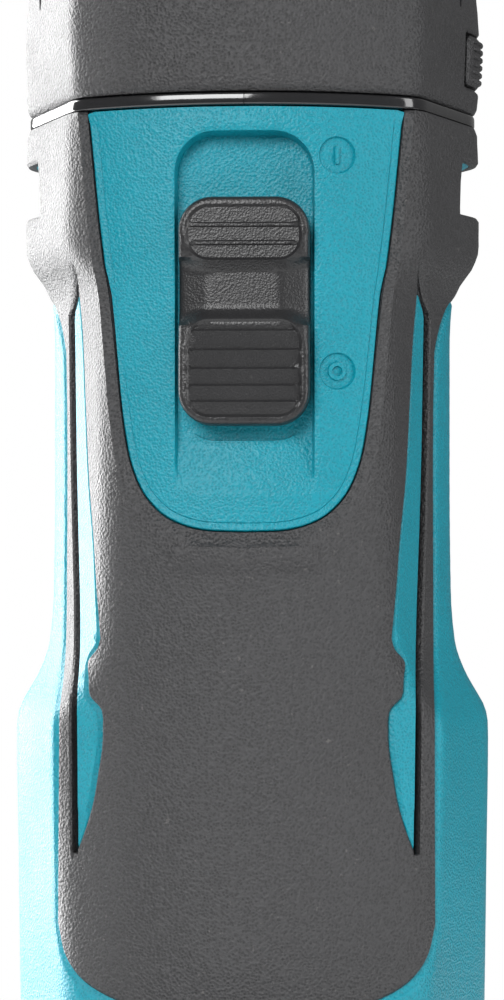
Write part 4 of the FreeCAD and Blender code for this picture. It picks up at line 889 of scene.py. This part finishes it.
def build_cover():
    outline = line([(-AROUND, COVER_BASE), (AROUND, COVER_BASE), (AROUND, HEAD_MOUTH),
                    (-AROUND, HEAD_MOUTH), (-AROUND, COVER_BASE)], 1.8)[:-1]
    lock_q = q_side([LOCK_HEIGHT], HEAD)[0]
    window = rounded(7.6, LOCK_HEIGHT - 4.5, LOCK_HEIGHT + 4.5, 0.8, lock_q, 0.8)
    slits = []
    for sign in (1, -1):
        foot = q_at([34.4], [226.0], levels=HEAD)[0]
        tip = q_at([32.6], [238.0], levels=HEAD)[0]
        slits.append(line([(sign * foot, 224.5), (sign * (tip + 2.4), 238.5), (sign * (tip - 2.4), 238.5),
                           (sign * foot, 224.5)], 0.8)[:-1][::sign])
    steps = [COVER_BASE + 0.35, COVER_BASE + 1.0, COVER_BASE + 3.2, COVER_BASE + 3.9, HEAD_TOP, HEAD_TOP + 0.6]
    lines = [(line([(-AROUND + 0.5, z), (AROUND - 0.5, z)], 1.6), False) for z in steps]
    lines += [(moved(window, w, True), True) for w in (-0.5, -0.9)]
    for slit in slits:
        lines += [(slit, True), (moved(slit, 0.3, True), False)]
    flat, tris = tessellate(outline, [window], lines, 1.7)
    q, z = flat.T
    height = ramp(z - COVER_BASE, (0, -0.75), (0.35, -0.3), (1.0, -0.02), (3.2, 0.0), (3.9, -0.22))
    height += ramp(away(flat, window, True), (0, -0.35), (0.5, 0))
    for slit in slits:
        height += np.where(within(flat, slit), ramp(away(flat, slit, True), (0, 0), (0.3, -1.4)), 0)
    body_z = np.minimum(z, HEAD_TOP)

    def surface(raise_by, rise):
        """The cover's surface, drawn in to its mouth above the head's top."""
        points = wrap(HEAD, q, body_z, raise_by)
        share = np.clip((z - HEAD_TOP) / (HEAD_MOUTH - HEAD_TOP), 0, 1)
        radius = np.hypot(points[:, 0], points[:, 1])
        new = radius + (MOUTH_RADIUS - radius) * share
        points[:, 0] *= new / radius
        points[:, 1] *= new / radius
        points[:, 2] = body_z + rise * np.sin(np.minimum(share * 4, 1) * math.pi / 2)
        return points

    made = closed_mesh("head_cover_shell", surface(height, 0.75), surface(-2.6, -1.6), tris, "grip_rubber")
    weld(made)
    return made


def build_ring(name, sign):
    """One half of the polished neck ring, with softened edges."""
    low, high, root = 207.35, 209.25, -9.0
    span = np.linspace(0, AROUND, 150)
    rows = [(-0.75, low), (-0.5, low + 0.12), (-0.42, low + 0.4), (-0.42, high - 0.4), (-0.5, high - 0.12),
            (-0.75, high), (root, high), (root, low)]
    points, faces = [], []
    for height, z in rows:
        ring = wrap(BODY, span, np.full(len(span), SHOULDER_TOP), height)
        ring[:, 2] = z
        ring[0, 0] = ring[-1, 0] = 0.05
        ring[:, 0] *= sign
        points.append(ring)
    count, total = len(span), len(rows)
    for row in range(total):
        for n in range(count - 1):
            a, d = row * count + n, (row + 1) % total * count + n
            faces.append((a, a + 1, d + 1, d))
    faces.append(tuple(range(0, total * count, count)))
    faces.append(tuple(range(count - 1, total * count, count))[::-1])
    if sign < 0:
        faces = [face[::-1] for face in faces]
    return smooth_piece(name, np.vstack(points), faces, ["ring_black"], sharp=math.radians(50))


def build_lock_button():
    """The ribbed lock button, which follows the curve of the head's side."""
    middle = q_side([LOCK_HEIGHT], HEAD)[0]
    outline = rounded(6.9, 213.95, 222.05, 1.4, middle, 0.7)
    ribs = 214.9 + 1.25 * np.arange(6)
    lines = [(moved(outline, w, True), True) for w in (0.35, 0.9)]
    for z in ribs:
        for shift in (-0.32, -0.14, 0.14, 0.32):
            lines.append((line([(middle - 5.6, z + shift), (middle + 5.6, z + shift)], 0.9), False))
    flat, tris = tessellate(outline, [], lines, 0.9)
    q, z = flat.T
    near = np.abs(z[:, None] - ribs).min(1)
    height = -0.15 + ramp(away(flat, outline, True), (0, -0.3), (0.35, 0), (0.9, 0.15))
    height += ramp(near, (0.14, 0.42), (0.32, 0)) * ramp(np.abs(q - middle), (5.0, 1), (5.7, 0))
    outer, inner = wrap(HEAD, q, z, height), wrap(HEAD, q, z, -3.1)
    return closed_mesh("lock_button_cap", outer, inner, tris, "grip_rubber")


def build_pack_ribs(name, sign):
    """A ribbed finger pad on the battery's side."""
    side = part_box("pack_base")[1].x / MM
    outline = rounded(26, 5.0, 21.0, 4.0, 10.0, 1.2)
    ribs = 7.4 + 2.8 * np.arange(5)
    lines = [(moved(outline, w, True), True) for w in (0.5, 1.2)]
    for z in ribs:
        for shift in (-0.95, -0.5, 0.5, 0.95):
            row = line([(-14, z + shift), (34, z + shift)], 1.5)
            row = row[inside_depth(row, outline) > 1.4]
            if len(row) > 2:
                lines.append((row, False))
    flat, tris = tessellate(outline, [], lines, 1.6)
    y, z = flat.T
    near = np.abs(z[:, None] - ribs).min(1)
    edge = away(flat, outline, True)
    rise = ramp(edge, (0, -0.2), (0.5, 0.3), (1.2, 0.35))
    rise += ramp(near, (0.5, 0.55), (0.95, 0)) * ramp(edge, (1.2, 0), (1.6, 1))
    outer = np.stack([sign * (side + rise), y, z], 1)
    inner = np.stack([np.full(len(y), sign * (side - 0.7)), y, z], 1)
    return closed_mesh(name, outer, inner, tris, "pack_black", flip=sign < 0)


# ------------------------------------------------------------------ putting it together


SOFT_EDGES = {"pack_base": 0.9, "pack_cover": 0.9, "release_button": 0.6, "nose_housing": 0.5,
              "collet_nut": 0.3}


def dress_cad():
    """Gives every CAD node the material of its slot, and some a small bevel."""
    slots = {row["node"]: row["material_slot"] for row in frame["record"]["subparts"]}
    for name, piece in frame["nodes"].items():
        material = MATERIALS[slots[name]]
        for holder in piece.material_slots:
            holder.material = material
        if not piece.material_slots:
            piece.data.materials.append(material)
    for name, width in SOFT_EDGES.items():
        bevel = frame["nodes"][name].modifiers.new("soft_edges", "BEVEL")
        bevel.width, bevel.segments = width * MM, 3
        bevel.limit_method, bevel.angle_limit = "ANGLE", math.radians(40)
        bevel.use_clamp_overlap = True


def add_piece(made, body, slot_name, *nodes):
    """Puts a piece on its body and hides the nodes that it replaces; the slot name is not used."""
    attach(made, body)
    if nodes:
        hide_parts(*nodes)


def area_light(name, place, size, power):
    """A white light that faces the middle of the tool."""
    data = bpy.data.lights.new(name, "AREA")
    data.shape = "RECTANGLE"
    data.size, data.size_y = size
    data.energy = power
    lamp = in_scene(name, data)
    lamp.location = place
    lamp.rotation_mode = "QUATERNION"
    lamp.rotation_quaternion = (Vector((0, 0, 0.15)) - Vector(place)).to_track_quat("-Z", "Y")


def build_stage():
    """A pale floor, a backdrop that only the camera sees as white, and three soft lights."""
    mesh = bpy.data.meshes.new("floor")
    corners = 120
    turns = [2 * math.pi * n / corners for n in range(corners)]
    mesh.from_pydata([(FLOOR_RADIUS * math.cos(a), FLOOR_RADIUS * math.sin(a), 0) for a in turns], [],
                     [tuple(range(corners))])
    floor = in_scene("floor", mesh)
    pale = bpy.data.materials.new("pale_floor")
    pale.use_nodes = True
    shader = pale.node_tree.nodes["Principled BSDF"]
    shader.inputs["Base Color"].default_value = (0.8, 0.8, 0.8, 1)
    shader.inputs["Roughness"].default_value = 0.9
    shader.inputs["Emission Color"].default_value = (1, 1, 1, 1)
    shader.inputs["Emission Strength"].default_value = 0.3
    mesh.materials.append(pale)

    world = bpy.data.worlds.new("studio")
    world.use_nodes = True
    tree = world.node_tree
    backdrop = tree.nodes["Background"]
    backdrop.inputs["Color"].default_value = (1, 1, 1, 1)
    path, level = tree.nodes.new("ShaderNodeLightPath"), tree.nodes.new("ShaderNodeMapRange")
    level.inputs["To Min"].default_value, level.inputs["To Max"].default_value = WORLD_LIGHT, 1.0
    tree.links.new(path.outputs["Is Camera Ray"], level.inputs["Value"])
    tree.links.new(level.outputs[0], backdrop.inputs["Strength"])
    bpy.context.scene.world = world
    area_light("key_left", (-0.74, 0.46, 0.28), (0.6, 1.2), 30)
    area_light("fill_front", (-0.3, -1.0, 0.6), (0.6, 0.5), 11.5)
    area_light("rim_right", (0.85, -0.4, 0.3), (0.3, 1.0), 5)
    bpy.context.scene.view_settings.view_transform = "Standard"


def build_camera():
    """Square to the switch and a little to its right, close enough that only the body's middle shows."""
    data = bpy.data.cameras.new("camera")
    camera = bpy.context.scene.camera = in_scene("camera", data)
    distance, level = 0.438, 0.146
    turn, half_view = math.radians(2.4), math.radians(10.75)
    data.lens = data.sensor_width / 2 / math.tan(half_view)
    back = Vector((math.sin(turn), -math.cos(turn), 0))
    camera.location = Vector((0, 0, level)) + back * distance
    camera.rotation_mode = "QUATERNION"
    camera.rotation_quaternion = (-back).to_track_quat("-Z", "Y")
    data.clip_start, data.clip_end = 0.01, 100


dress_cad()
for word, sign in (("left", -1), ("right", 1)):
    add_piece(build_grip(f"grip_{word}_skin", sign), "tool", "grip_rubber", f"grip_{word}")
    add_piece(build_housing(f"housing_{word}_skin", sign), "tool", "shell_teal", f"housing_{word}")
    add_piece(build_ring(f"neck_ring_{word}_band", sign), "tool", "ring_black", f"neck_ring_{word}")
add_piece(build_panel(), "tool", "panel_teal", "switch_panel")
add_piece(build_knob(), "switch", "knob_black", "switch_knob")
add_piece(build_cover(), "tool", "grip_rubber", "head_cover")
add_piece(build_lock_button(), "lock", "grip_rubber", "lock_button")
for word, sign in (("left", -1), ("right", 1)):
    add_piece(build_pack_ribs(f"pack_pad_{word}", sign), "battery", "pack_black")
build_stage()
build_camera()
